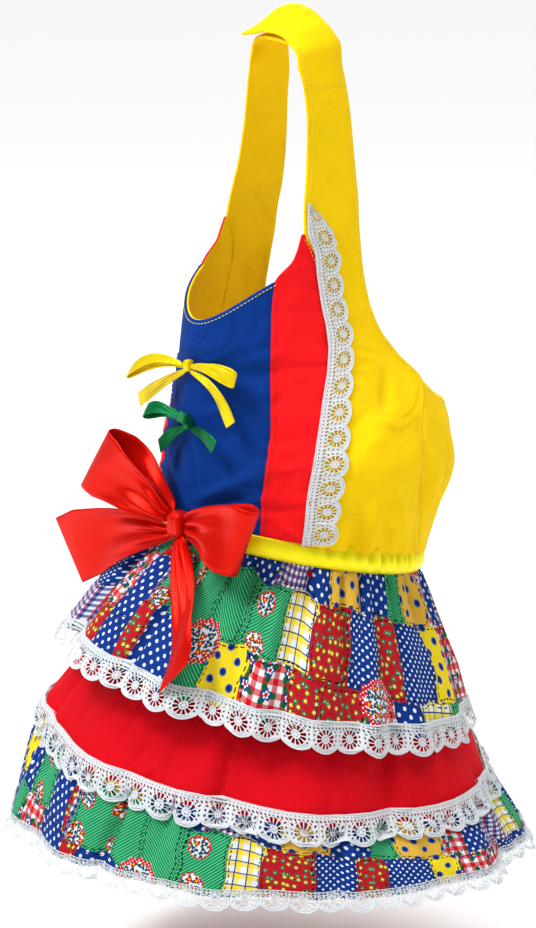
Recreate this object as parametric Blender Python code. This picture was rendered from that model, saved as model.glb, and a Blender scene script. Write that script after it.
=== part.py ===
"""A small dog's halter dress: panelled bodice, neck straps, a skirt in three gathered tiers, bows.

Metres, +Z up. The front faces -Y and the wearer's left is +X. The origin is just inside the top
of the neck loop, at the middle of the peg that the dress hangs on.
"""

import math

import bpy
from mathutils import Vector

# Bodice, from the hang point down
HANG_TO_WAIST = 0.290
BODICE_HALF_WIDTH = 0.082
FRONT_DEPTH = 0.071
BACK_DEPTH = 0.080
WAIST_SLANT = 0.25

# Waist and skirt
WAIST_HALF_WIDTH = 0.868 * BODICE_HALF_WIDTH
WAIST_HALF_DEPTH = 0.465 * (FRONT_DEPTH + BACK_DEPTH)
WAIST_CENTRE_Y = -0.003
BAND_HEIGHT = 0.011
BAND_SWELL = 0.0008
BASE_WAIST_INSET = 0.0020

# The tiers' hems, each a tilted ring: its radius, how far below the waist it hangs, where its
# middle is from front to back, and how far it rises towards the front and towards the right
OVERSKIRT_HEM = (0.1120, 0.0654, -0.0185, 0.0234, 0.0113)
BASE_HEM = (0.1236, 0.1090, -0.0208, 0.0158, 0.0095)
RUFFLE_HEM = (0.1428, 0.1540, -0.0182, 0.0135, -0.0045)

# Cloth, lace and ribbon. A skirt lace has its overlap on the cloth and its free width. Each repeat of
# the lace has one gap, its middle at a share of the width. The bodice lace starts at a share of the
# way from one section row to the next, laps over the seam, turns in after its straight repeats, and
# tapers from top to bottom.
CLOTH = 0.0015
LINING = 0.0010
LACE = 0.0010
LACE_PITCH = 0.0147
OVERSKIRT_LACE = (0.0065, 0.0105)
BASE_LACE = (0.0060, 0.0105)
BASE_LACE_SEAT = 0.0019
HEM_LACE = (0.0035, 0.0075)
BODICE_LACE_WIDTH = 0.017
BODICE_LACE_INSET = 0.0045
SCALLOP = 0.0022
LACE_GAP_HALF = 0.0034
LACE_GAP_AT = 0.56
LACE_TOP_SHARE = 0.1
LACE_TOP_LAP = 0.001
LACE_STRAIGHT_REPEATS = 1.5
LACE_TAPER = (0.95, 0.82)
STRAP_THICKNESS = 0.0018
RIBBON = 0.0010
WIDE_RIBBON = 0.038
NARROW_RIBBON = 0.007
ROOT_HALF = 0.09
ROOT_CLEARANCE = 1.04
TAIL_LEAN = 0.7
LOOP_ROUND = 1.7
RIBBON_OPENS = 1.25
RIBBON_SPREAD = 0.8
LACE_ROUGHNESS = 0.8
BAND_ROUGHNESS = 0.35
RIBBON_ROUGHNESS = 0.3

# Clearances
SEAM_GAP = 0.0005
SEAT_GAP = 0.0003
LINING_INSET = 0.0012
LINING_GAP = 0.0006
RUFFLE_GAP = 0.0010
LACE_SEAT = 0.0005
NUDGE = 0.001

# Grid counts
OVERSKIRT_SCALLOPS = 44
BASE_COLUMNS = 48
BAND_COLUMNS = 36

# Horizontal sections of the bodice. drop is a share of HANG_TO_WAIST, half_width a share of
# BODICE_HALF_WIDTH and the y values shares of FRONT_DEPTH (in front) or BACK_DEPTH (behind).
# front_round and back_round are the exponents of the section's outline, slant the share of the
# waist's slant that the row takes.
SECTION_COLUMNS = ("drop", "half_width", "front_round", "back_round", "blue_y", "red_y", "side_y",
                   "slant")
SECTIONS = (
    (0.120, 0.283, 2.00, 3.0, 0.000, -0.191, 0.176, 0.00),
    (0.172, 0.315, 2.00, 3.0, 0.000, -0.186, 0.189, 0.00),
    (0.227, 0.334, 2.00, 3.0, 0.000, -0.201, 0.200, 0.00),
    (0.275, 0.354, 2.00, 3.0, 0.000, -0.225, 0.205, 0.00),
    (0.322, 0.380, 2.00, 3.0, 0.000, -0.262, 0.206, 0.00),
    (0.383, 0.418, 2.00, 3.0, -0.322, -0.296, 0.188, 0.00),
    (0.424, 0.440, 1.95, 3.0, -0.397, -0.222, 0.185, 0.00),
    (0.462, 0.470, 1.93, 3.0, -0.560, -0.192, 0.180, 0.00),
    (0.508, 0.515, 1.90, 3.0, -0.608, -0.196, 0.183, 0.00),
    (0.555, 0.573, 1.88, 3.0, -0.641, -0.192, 0.212, 0.00),
    (0.610, 0.656, 1.80, 3.0, -0.675, -0.248, 0.322, 0.00),
    (0.667, 0.768, 1.72, 2.9, -0.706, -0.350, 0.475, 0.00),
    (0.728, 0.895, 1.70, 2.7, -0.742, -0.448, 0.348, 0.10),
    (0.800, 1.000, 1.72, 2.4, -0.790, -0.535, 0.270, 0.35),
    (0.876, 0.975, 1.85, 2.2, -0.822, -0.575, 0.285, 0.65),
    (0.960, 0.880, 2.00, 2.1, -0.838, -0.590, 0.360, 1.00),
)
NECK_ROW = 7
RED_TIP_ROW = 5
ARMPIT_ROW = 11

# Depths of front and back, as shares of FRONT_DEPTH and BACK_DEPTH, beside the drop
FRONT_DEPTHS = ((0.46, 0.955), (0.60, 0.985), (0.80, 1.00), (1.00, 1.03))
BACK_DEPTHS = ((0.66, 1.00), (0.80, 1.00), (0.88, 0.95), (0.96, 0.87), (1.04, 0.83))

# The neckline's scoop: how far the middle lies below the seam's top, and how it fades downwards
NECK_SCOOP = 0.021
SCOOP_FADE = (1.0, 0.72, 0.45, 0.2, 0.05)

# The same for the back's upper edge, between the side seams, which is level up to near its ends
BACK_SCOOP = 0.019
BACK_LEVEL = 4
BACK_FADE = (1.0, 0.55, 0.2)

# How the straps close over the neck. Each row crosses one strap: front edge and rear edge as
# shares of STRAP_REACH, x first. The left strap lies over the right one and ends in a free tip.
STRAP_REACH = 0.020
LEFT_CREST = (
    ((-1.00, -1.00, -0.59), (-0.92, -0.50, -0.40)),
    ((-0.68, -0.88, -0.56), (-0.55, -0.08, 0.06)),
    ((-0.37, -0.74, -0.50), (-0.08, 0.05, 0.17)),
    ((-0.05, -0.73, -0.50), (0.26, 0.22, 0.07)),
    ((0.33, -0.73, -0.56), (0.70, 0.36, -0.23)),
    ((0.65, -0.73, -0.75), (0.95, 0.49, -0.53)),
    ((0.89, -0.70, -0.98), (1.09, 0.60, -0.84)),
    ((1.00, -0.73, -1.30), (1.11, 0.64, -1.35)),
)
RIGHT_CREST = (
    ((-0.40, -0.62, -0.76), (-0.35, 0.30, -0.44)),
    ((-0.10, -0.65, -0.70), (-0.05, 0.30, -0.32)),
    ((0.25, -0.65, -0.68), (0.32, 0.35, -0.28)),
    ((0.60, -0.66, -0.64), (0.67, 0.38, -0.42)),
    ((0.90, -0.62, -0.73), (0.93, 0.48, -0.64)),
    ((1.04, -0.64, -1.00), (1.07, 0.58, -0.95)),
    ((1.01, -0.73, -1.30), (1.11, 0.64, -1.35)),
)

# Skirt profiles from waist to hem: share of the drop, share of the outward reach
OVERSKIRT_PROFILE = ((0.0, 0.0), (0.22, 0.29), (0.55, 0.65), (1.0, 1.0))
BASE_PROFILE = ((0.0, 0.0), (0.22, 0.11), (0.5, 0.35), (0.8, 0.76), (1.0, 1.0))
RUFFLE_PROFILE = ((0.0, 0.0), (0.5, 0.56), (1.0, 1.0))

# Folds of the overskirt: angle from the front towards the left in degrees, half width in degrees,
# depth as a share of FOLD_DEPTH. They are fully deep from the share FOLD_GROWTH of the drop.
FOLD_DEPTH = 0.006
FOLD_GROWTH = 0.25
OVERSKIRT_FOLDS = (
    (12, 9, 0.5), (34, 10, 1.0), (53, 8, 1.0), (72, 10, 0.5), (88, 9, 1.0), (106, 10, 0.6),
    (128, 11, 0.8), (150, 11, 0.6), (174, 12, 0.4), (198, 11, 0.6), (222, 11, 0.9),
    (246, 10, 0.6), (268, 10, 1.0), (290, 9, 0.6), (312, 10, 0.9), (338, 10, 0.7),
)
BASE_WAVES = ((7, 0.0016, 0.4), (11, 0.0010, 1.9))
RUFFLE_WAVES = ((11, 0.0020, 0.9), (17, 0.0013, 2.2))

# Bows. Places are shares of the bow's reach from its knot's centre: right-left, back-front,
# up-down. A loop or tail has its middle line's end, the half vector across the ribbon there, how
# far its middle bends aside, how far a loop's two leaves stand apart (0 for a tail), and the share
# of the ribbon's width that shows where it curls.
RED_BOW_DROP = 0.2635
YELLOW_BOW_DROP = 0.1785
GREEN_BOW_DROP = 0.2095
RED_BOW_REACH = 0.085
SMALL_BOW_REACH = 0.046
RED_KNOT = (0.0072, 0.0062, 0.0075)
SMALL_KNOT = (0.0030, 0.0028, 0.0034)
RED_BOW = {
    "loop_right": ((-0.62, -0.16, 0.33), (0.48, 0.14, 0.86), (0.02, 0.0, 0.02), 0.13, 1.0),
    "loop_left": ((0.62, 0.02, 0.01), (0.30, 0.15, 0.94), (0.0, 0.0, 0.03), 0.13, 1.0),
    "tail_right": ((-0.89, -0.20, -0.35), (-0.40, -0.16, 0.90), (0.0, -0.03, 0.06), 0.0, 1.0),
    "tail_left": ((0.56, -0.50, -0.75), (0.62, 0.25, 0.74), (0.15, -0.06, -0.03), 0.0, 0.6),
}
YELLOW_BOW = {
    "loop_right": ((-0.88, -0.16, -0.22), (0.05, 0.60, 0.80), (0.0, 0.0, 0.10), 0.05, 1.0),
    "loop_left": ((0.74, 0.06, -0.05), (0.10, 0.20, 0.97), (0.0, 0.0, 0.05), 0.09, 1.0),
    "tail_right": ((-0.98, 0.04, -0.60), (-0.40, 0.10, 0.90), (0.0, 0.0, 0.02), 0.0, 1.0),
    "tail_left": ((0.70, 0.04, -0.56), (0.80, 0.10, 0.60), (0.06, 0.0, 0.10), 0.0, 1.0),
}
GREEN_BOW = {
    "loop_right": ((-0.64, -0.10, 0.02), (0.05, 0.50, 0.86), (0.0, 0.0, 0.08), 0.12, 1.0),
    "loop_left": ((0.22, -0.26, 0.15), (0.50, -0.20, 0.84), (0.0, 0.0, 0.03), 0.15, 1.0),
    "tail_right": ((-0.46, -0.06, -0.36), (-0.40, 0.10, 0.90), (0.0, 0.0, 0.04), 0.0, 1.0),
    "tail_left": ((0.54, -0.06, -0.16), (0.40, 0.10, 0.90), (0.0, 0.0, 0.04), 0.0, 1.0),
}

COLOURS = {
    "blue_cotton": (0.0, 0.038, 0.26),
    "red_cotton": (0.95, 0.012, 0.014),
    "yellow_cotton": (0.98, 0.68, 0.0),
    "lemon_satin": (0.91, 0.80, 0.0),
    "patchwork_cotton": (0.12, 0.22, 0.45),
    "crimson_cotton": (0.64, 0.0, 0.006),
    "white_lace": (0.72, 0.80, 0.84),
    "red_satin": (0.90, 0.03, 0.02),
    "yellow_satin": (0.90, 0.66, 0.0),
    "green_satin": (0.0, 0.17, 0.05),
}


def clear_scene():
    """Start from an empty scene."""
    for item in list(bpy.data.objects):
        bpy.data.objects.remove(item, do_unlink=True)


def material(colour_name, roughness):
    """A plain material, made once for each colour."""
    found = bpy.data.materials.get(colour_name)
    if found:
        return found
    made = bpy.data.materials.new(colour_name)
    made.use_nodes = True
    shader = made.node_tree.nodes["Principled BSDF"]
    shader.inputs["Base Color"].default_value = (*COLOURS[colour_name], 1.0)
    shader.inputs["Roughness"].default_value = roughness
    shader.inputs["Metallic"].default_value = 0.0
    return made


def mix(first, second, share):
    return first + (second - first) * share


def read_table(table, place):
    """Second column of a two-column table at a place along its first, in straight steps."""
    for low, high in zip(table, table[1:]):
        if place <= high[0]:
            share = (place - low[0]) / (high[0] - low[0])
            return mix(low[1], high[1], max(share, 0.0))
    return table[-1][1]


# Surfaces as grids of points, and the walls made from them

def grid_normals(grid, wrap):
    """A unit normal for each point of a grid, from its neighbours along rows and columns."""
    rows = len(grid)
    columns = len(grid[0])
    normals = []
    for row in range(rows):
        line = []
        for column in range(columns):
            before = (column - 1) % columns if wrap else max(column - 1, 0)
            after = (column + 1) % columns if wrap else min(column + 1, columns - 1)
            across = grid[row][after] - grid[row][before]
            along = grid[min(row + 1, rows - 1)][column] - grid[max(row - 1, 0)][column]
            line.append(along.cross(across).normalized())
        normals.append(line)
    return normals


def grid_surface(grid, wrap=False, normals=None):
    """Points, normals and quads of a grid, rows running down and columns to the wearer's left."""
    normals = normals or grid_normals(grid, wrap)
    columns = len(grid[0])
    points = [point for line in grid for point in line]
    directions = [normal for line in normals for normal in line]
    quads = []
    for row in range(len(grid) - 1):
        for column in range(columns if wrap else columns - 1):
            beside = (column + 1) % columns
            quads.append((row * columns + column, (row + 1) * columns + column,
                          (row + 1) * columns + beside, row * columns + beside))
    return points, directions, quads


def join_surfaces(surfaces):
    """One surface from several that share the points along their common edges."""
    points, directions, quads = [], [], []
    index_at = {}
    for part_points, part_directions, part_quads in surfaces:
        moved = []
        for point, direction in zip(part_points, part_directions):
            key = tuple(round(value, 6) for value in point)
            if key not in index_at:
                index_at[key] = len(points)
                points.append(point)
                directions.append(direction)
            moved.append(index_at[key])
        quads.extend(tuple(moved[index] for index in quad) for quad in part_quads)
    return points, directions, quads


def wall(name, surface, inner, outer, colour_name, roughness=0.7):
    """A closed cloth wall between two offsets of a surface, as a named object."""
    points, directions, faces = surface
    count = len(points)
    vertices = [point + direction * outer for point, direction in zip(points, directions)]
    vertices += [point + direction * inner for point, direction in zip(points, directions)]
    triangles = []
    edges = set()
    for face in faces:
        edges.update(zip(face, face[1:] + face[:1]))
        triangles.extend((face[0], face[step], face[step + 1]) for step in range(1, len(face) - 1))
    polygons = triangles + [tuple(index + count for index in reversed(face)) for face in triangles]
    for start, end in sorted(edges):
        if (end, start) not in edges:
            polygons.append((end, start, start + count, end + count))
    mesh = bpy.data.meshes.new(name)
    mesh.from_pydata(vertices, [], polygons)
    mesh.validate()
    mesh.shade_smooth()
    made = bpy.data.objects.new(name, mesh)
    bpy.context.scene.collection.objects.link(made)
    made.data.materials.append(material(colour_name, roughness))
    return made


# The bodice's form

def section_value(column, row):
    return SECTIONS[row][SECTION_COLUMNS.index(column)]


def section_at(column, z):
    """A column of the section table at a height, in straight steps between its rows."""
    index = SECTION_COLUMNS.index(column)
    return read_table([(line[0], line[index]) for line in SECTIONS], -z / HANG_TO_WAIST)


def depth_share(y_share):
    """A y value from its share, which counts in FRONT_DEPTH before the middle, else BACK_DEPTH."""
    return y_share * (FRONT_DEPTH if y_share < 0 else BACK_DEPTH)


def front_depth(z):
    return FRONT_DEPTH * read_table(FRONT_DEPTHS, -z / HANG_TO_WAIST)


def back_depth(z):
    return BACK_DEPTH * read_table(BACK_DEPTHS, -z / HANG_TO_WAIST)


def side_x(y, z):
    """Half width of the bodice's outer face at a depth and height."""
    width = section_at("half_width", z) * BODICE_HALF_WIDTH
    power = section_at("front_round" if y < 0 else "back_round", z)
    depth = front_depth(z) if y < 0 else back_depth(z)
    return width * (1 - min(abs(y) / depth, 1.0) ** power) ** (1 / power)


def side_normal(side, y, z):
    """Outward direction of the bodice's side at a depth and height."""
    lean = (side_x(y + NUDGE, z) - side_x(y - NUDGE, z)) / (2 * NUDGE)
    slope = (side_x(y, z + NUDGE) - side_x(y, z - NUDGE)) / (2 * NUDGE)
    return Vector((side, -lean, -slope)).normalized()


def front_y(x, z):
    """Depth of the bodice's front face at a place across it and a height."""
    width = section_at("half_width", z) * BODICE_HALF_WIDTH
    power = section_at("front_round", z)
    return -front_depth(z) * (1 - min(abs(x) / width, 1.0) ** power) ** (1 / power)


def row_z(row, y):
    """Height of a section row at a depth: the lower rows slant with the waist."""
    slant = section_value("slant", row) * WAIST_SLANT
    return -section_value("drop", row) * HANG_TO_WAIST - slant * (y - WAIST_CENTRE_Y)


def side_grid(side, start, end, edge_in, edge_out, steps):
    """Rows of points on the bodice's side between two edges, given as y for each row."""
    grid = []
    for row in range(start, end):
        line = []
        for step in range(steps + 1):
            y = mix(edge_in(row), edge_out(row), step / steps)
            z = row_z(row, y)
            line.append(Vector((side * side_x(y, z), y, z)))
        grid.append(line if side > 0 else line[::-1])
    return grid


def blue_edge(row):
    return depth_share(section_value("blue_y", row))


def red_edge(row):
    return depth_share(section_value("red_y", row))


def side_edge(row):
    return depth_share(section_value("side_y", row))


def shifted(edge, distance):
    """The same edge moved front to back by a distance."""
    return lambda row: edge(row) + distance


def fade_at(fades, index):
    return fades[index] if index < len(fades) else 0.0


def blue_grid(inset, steps=6):
    """Rows of points on the blue front panel, with the neckline's scoop fading downwards."""
    grid = []
    for row in range(NECK_ROW, len(SECTIONS)):
        fade = fade_at(SCOOP_FADE, row - NECK_ROW)
        seam_y = blue_edge(row)
        reach = side_x(seam_y, row_z(row, seam_y)) - inset
        line = []
        for step in range(steps + 1):
            share = mix(-1.0, 1.0, step / steps)
            dip = NECK_SCOOP * fade * (1 - share * share)
            z = row_z(row, seam_y) - dip
            y = front_y(reach * share, z)
            slant = section_value("slant", row) * WAIST_SLANT
            line.append(Vector((reach * share, y, z - slant * (y - seam_y))))
        grid.append(line)
    return grid


def red_grid(side, inset, rear_inset):
    """Rows of points on one red panel, from its tip at the neckline down to the waist."""
    return side_grid(side, RED_TIP_ROW, len(SECTIONS), shifted(blue_edge, inset),
                     shifted(red_edge, -rear_inset), 3)


def make_front():
    """Blue centre, the two red panels and the lining behind them."""
    half_gap = SEAM_GAP / 2
    wall("bodice_center", grid_surface(blue_grid(half_gap)), -CLOTH, 0.0, "blue_cotton")
    for side, word in ((1, "left"), (-1, "right")):
        wall(f"bodice_red_{word}", grid_surface(red_grid(side, half_gap, half_gap)), -CLOTH, 0.0,
             "red_cotton")
    lining = join_surfaces([grid_surface(blue_grid(0.0)),
                            grid_surface(red_grid(1, 0.0, LINING_INSET)),
                            grid_surface(red_grid(-1, 0.0, LINING_INSET))])
    inside = -CLOTH - LINING_GAP
    wall("front_lining", lining, inside - LINING, inside, "yellow_cotton")


def crest_rows(side, crest, steps):
    """The strap's rows over the top of the neck, from its end down to the first section row."""
    rows = []
    for front, rear in crest:
        line = []
        for step in range(steps + 1):
            share = step / steps
            point = Vector(front).lerp(Vector(rear), share) * STRAP_REACH
            line.append(Vector((side * point.x, point.y, point.z)))
        rows.append(line if side > 0 else line[::-1])
    return rows


def yellow_grid(side, crest, steps=5):
    """Rows of points on one side panel, from the strap's end down to the waist."""
    gap = SEAM_GAP / 2
    upper = side_grid(side, 0, RED_TIP_ROW, red_edge, side_edge, steps)
    lower = side_grid(side, RED_TIP_ROW, ARMPIT_ROW, shifted(red_edge, gap), side_edge, steps)
    below = side_grid(side, ARMPIT_ROW, len(SECTIONS), shifted(red_edge, gap),
                      shifted(side_edge, -gap), steps)
    return crest_rows(side, crest, steps) + upper + lower + below


def yellow_surface(side, crest):
    """One side panel with its strap. Along the side seam it points the way the back does."""
    grid = yellow_grid(side, crest)
    normals = grid_normals(grid, False)
    last = -1 if side > 0 else 0
    for row in range(len(crest) + ARMPIT_ROW, len(grid)):
        point = grid[row][last]
        normals[row][last] = side_normal(side, point.y, point.z)
    return grid_surface(grid, False, normals)


def make_sides():
    """The yellow side panels with their straps."""
    wall("bodice_yellow_left", yellow_surface(1, LEFT_CREST), -STRAP_THICKNESS, 0.0, "yellow_cotton")
    wall("bodice_yellow_right", yellow_surface(-1, RIGHT_CREST), -STRAP_THICKNESS, 0.0, "yellow_cotton")


def make_back(steps=12):
    """The back panel, from side seam to side seam."""
    grid = []
    for row in range(ARMPIT_ROW, len(SECTIONS)):
        seam_y = side_edge(row) + SEAM_GAP / 2
        z_seam = row_z(row, seam_y)
        depth = back_depth(z_seam)
        dip = BACK_SCOOP * fade_at(BACK_FADE, row - ARMPIT_ROW)
        width = section_at("half_width", z_seam) * BODICE_HALF_WIDTH
        power = section_at("back_round", z_seam)
        start = math.asin((seam_y / depth) ** (power / 2))
        line = []
        for step in range(steps + 1):
            angle = mix(start, math.pi - start, step / steps)
            across = math.copysign(abs(math.cos(angle)) ** (2 / power), math.cos(angle))
            y = depth * math.sin(angle) ** (2 / power)
            level = 1.0 - abs(mix(-1.0, 1.0, step / steps)) ** BACK_LEVEL
            line.append(Vector((width * across, y, row_z(row, y) - dip * level)))
        grid.append(line)
    normals = grid_normals(grid, False)
    for line, directions in zip(grid, normals):
        for end, side in ((0, 1), (-1, -1)):
            directions[end] = side_normal(side, line[end].y, line[end].z)
    wall("bodice_back", grid_surface(grid, False, normals), -CLOTH, 0.0, "yellow_cotton")


def edge_at(edge, z):
    """An edge's y at any height, in straight steps between the section rows."""
    table = [(section_value("drop", row), edge(row)) for row in range(len(SECTIONS))]
    return read_table(table, -z / HANG_TO_WAIST)


def lace_unit_faces(start, stride, pierced):
    """Faces of one lace repeat between two edge lines, around its gap where it is pierced.

    Points are, from start: top left, top middle, bottom left, bottom middle and the gap's four
    corners (up, left, down, right); stride on from there the next repeat begins.
    """
    top_left, top_middle, low_left, low_middle, up, left, down, right = range(start, start + 8)
    top_right = start + stride
    low_right = start + stride + 2
    if not pierced:
        return [(top_left, low_left, low_middle, top_middle),
                (top_middle, low_middle, low_right, top_right)]
    return [(top_left, left, up, top_middle), (top_middle, up, right, top_right),
            (top_left, low_left, left), (low_left, low_middle, down, left),
            (low_middle, low_right, right, down), (top_right, right, low_right)]


def lace_strip(point_at, repeats, width, pierced, wrap):
    """A scalloped strip as a surface. point_at(u, v) gives a point and a normal, u along the
    strip in repeats and v across it from 0, its straight edge, to 1, its scalloped edge."""
    half = LACE_GAP_HALF / LACE_PITCH
    tall = LACE_GAP_HALF / width
    valley = 1.0 - SCALLOP / width
    middle = LACE_GAP_AT
    corners = ((0.0, 0.0), (0.5, 0.0), (0.0, valley), (0.5, 1.0), (0.5, middle - tall),
               (0.5 - half, middle), (0.5, middle + tall), (0.5 + half, middle))
    stride = len(corners) if pierced else 4
    points, directions, faces = [], [], []
    for repeat in range(repeats):
        faces.extend(lace_unit_faces(repeat * stride, stride, pierced))
        for u, v in corners[:stride]:
            point, normal = point_at(repeat + u, v)
            points.append(point)
            directions.append(normal)
    total = repeats * stride
    if wrap:
        faces = [tuple(index % total for index in face) for face in faces]
    else:
        for u, v in ((repeats, 0.0), (repeats, 0.0), (repeats, valley)):
            point, normal = point_at(u, v)
            points.append(point)
            directions.append(normal)
    return points, directions, faces


def drop_unused(surface):
    """The same surface without points that no face uses."""
    points, directions, faces = surface
    used = sorted({index for face in faces for index in face})
    place = {old: new for new, old in enumerate(used)}
    faces = [tuple(place[index] for index in face) for face in faces]
    return [points[i] for i in used], [directions[i] for i in used], faces


def make_bodice_lace():
    """The scalloped lace over each seam between red and yellow."""
    top = -HANG_TO_WAIST * mix(section_value("drop", RED_TIP_ROW - 1),
                               section_value("drop", RED_TIP_ROW), LACE_TOP_SHARE)
    bottom_y = red_edge(len(SECTIONS) - 1)
    bottom = row_z(len(SECTIONS) - 1, bottom_y) + SEAT_GAP
    repeats = round((top - bottom) / LACE_PITCH)

    def surface_for(side):
        def point_at(u, v):
            z = mix(top, bottom, u / repeats)
            seam = edge_at(red_edge, z)
            open_share = min((top - z + LACE_TOP_LAP) / LACE_PITCH, 1.0)
            turned = min(max((top - z) / LACE_PITCH - LACE_STRAIGHT_REPEATS, 0.0), 1.0)
            width = BODICE_LACE_WIDTH * open_share * mix(*LACE_TAPER, u / repeats)
            y = seam - BODICE_LACE_INSET * turned + mix(LACE_TOP_LAP, width, v)
            return Vector((side * side_x(y, z), y, z)), side_normal(side, y, z)
        points, directions, faces = lace_strip(point_at, repeats, BODICE_LACE_WIDTH, True, False)
        if side > 0:
            faces = [face[::-1] for face in faces]
        return drop_unused((points, directions, faces))

    for side, word in ((1, "left"), (-1, "right")):
        wall(f"lace_bodice_{word}", surface_for(side), LACE_SEAT, LACE_SEAT + LACE, "white_lace",
             LACE_ROUGHNESS)


# The waist and the skirt

def waist_point(angle, inset, drop):
    """A point on the waist's oval, angle 0 in front and growing to the wearer's left."""
    x = (WAIST_HALF_WIDTH - inset) * math.sin(angle)
    y = WAIST_CENTRE_Y - (WAIST_HALF_DEPTH - inset) * math.cos(angle)
    z = -HANG_TO_WAIST - WAIST_SLANT * (y - WAIST_CENTRE_Y) - drop
    return Vector((x, y, z))


def hem_point(angle, hem):
    """A point on a tier's hem, a tilted ring."""
    radius, drop, centre_y, front_rise, right_rise = hem
    rise = front_rise * math.cos(angle) - right_rise * math.sin(angle)
    return Vector((radius * math.sin(angle), centre_y - radius * math.cos(angle),
                   -HANG_TO_WAIST - drop + rise))


def tier_grid(top_at, hem_at, profile, columns, push):
    """Rows of points of one tier. push(angle, share) moves a point outwards."""
    grid = []
    for fall, reach in profile:
        line = []
        for column in range(columns):
            angle = 2 * math.pi * column / columns
            top = top_at(angle)
            hem = hem_at(angle)
            point = Vector((mix(top.x, hem.x, reach), mix(top.y, hem.y, reach),
                            mix(top.z, hem.z, fall)))
            outward = Vector((math.sin(angle), -math.cos(angle), 0.0))
            line.append(point + outward * push(angle, fall))
        grid.append(line)
    return grid


def fold_push(angle, share):
    """How far the overskirt's folds pull the cloth in at an angle, growing towards the hem."""
    degrees = math.degrees(angle)
    total = 0.0
    for centre, half_width, depth in OVERSKIRT_FOLDS:
        away = abs((degrees - centre + 180) % 360 - 180)
        if away < half_width:
            total += depth * (0.5 + 0.5 * math.cos(math.pi * away / half_width))
    grow = min(share / FOLD_GROWTH, 1.0)
    return -FOLD_DEPTH * total * grow


def wave_push(waves, angle, share):
    """A tier's gentle waves, growing towards the hem."""
    return share * sum(size * math.sin(count * angle + turn) for count, size, turn in waves)


def band_grid():
    """The waistband's rows: full height in front, slightly fuller at the sides and back."""
    grid = []
    for share in (0.0, 0.5, 1.0):
        line = []
        for column in range(BAND_COLUMNS):
            angle = 2 * math.pi * column / BAND_COLUMNS
            swell = BAND_SWELL * math.sin(math.pi * share)
            line.append(waist_point(angle, -swell, BAND_HEIGHT * (share - 1.0)))
        grid.append(line)
    return grid


def half_columns(line):
    """The points of a ring with the middle of each straight side added."""
    doubled = []
    for index, point in enumerate(line):
        doubled.append(point)
        doubled.append(point.lerp(line[(index + 1) % len(line)], 0.5))
    return doubled


def ring_lace(name, rows, width, scallops, pierced, seat=LACE_SEAT):
    """Lace on a skirt. Each row has its share across the lace, a ring of points and their
    outward directions; the last row is the scalloped edge."""
    count = len(rows[0][1])

    def point_at(u, v):
        place = u / scallops * count
        column = int(place) % count
        beside = (column + 1) % count
        rest = place - int(place)
        index = 0
        while index < len(rows) - 2 and v > rows[index + 1][0]:
            index += 1
        share = (v - rows[index][0]) / (rows[index + 1][0] - rows[index][0])
        found = []
        for kind in (1, 2):
            upper, lower = rows[index][kind], rows[index + 1][kind]
            found.append(upper[column].lerp(upper[beside], rest).lerp(
                lower[column].lerp(lower[beside], rest), share))
        return found

    surface = lace_strip(point_at, scallops, width, pierced, True)
    wall(name, surface, seat, seat + LACE, "white_lace", LACE_ROUGHNESS)


def moved_row(start_row, towards, distance):
    """A ring of points, each moved from its start towards another ring by a distance."""
    return [start + (end - start).normalized() * distance for start, end in zip(start_row, towards)]


def hanging_row(upper, lower, distance):
    """A ring of points that carries on past the lower ring by a distance."""
    return [low + (low - high).normalized() * distance for high, low in zip(upper, lower)]


def make_waist_and_skirt():
    """The waistband, the three tiers and the lace on each."""
    wall("waistband", grid_surface(band_grid(), True), -CLOTH, 0.0, "lemon_satin",
         BAND_ROUGHNESS)
    make_overskirt()
    base, normals = make_base()
    make_ruffle(half_columns(base[-2]), half_columns(base[-1]), half_columns(normals[-1]))


def make_overskirt():
    """The gathered overskirt with lace on its hem."""
    grid = tier_grid(lambda angle: waist_point(angle, 0.0, SEAT_GAP),
                     lambda angle: hem_point(angle, OVERSKIRT_HEM),
                     OVERSKIRT_PROFILE, 2 * OVERSKIRT_SCALLOPS, fold_push)
    normals = grid_normals(grid, True)
    wall("overskirt", grid_surface(grid, True, normals), -CLOTH, 0.0, "patchwork_cotton")
    overlap, free = OVERSKIRT_LACE
    rows = ((0.0, moved_row(grid[-1], grid[-2], overlap), normals[-1]),
            (overlap / (overlap + free), grid[-1], normals[-1]),
            (1.0, hanging_row(grid[-2], grid[-1], free), normals[-1]))
    ring_lace("lace_overskirt", rows, overlap + free, OVERSKIRT_SCALLOPS, True)


def make_base():
    """The plain red skirt under the overskirt, which carries the flounce on its hem."""
    grid = tier_grid(lambda angle: waist_point(angle, BASE_WAIST_INSET, SEAT_GAP),
                     lambda angle: hem_point(angle, BASE_HEM), BASE_PROFILE, BASE_COLUMNS,
                     lambda angle, share: wave_push(BASE_WAVES, angle, share))
    normals = grid_normals(grid, True)
    wall("skirt_base", grid_surface(grid, True, normals), -CLOTH, 0.0, "crimson_cotton")
    return grid, normals


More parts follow.
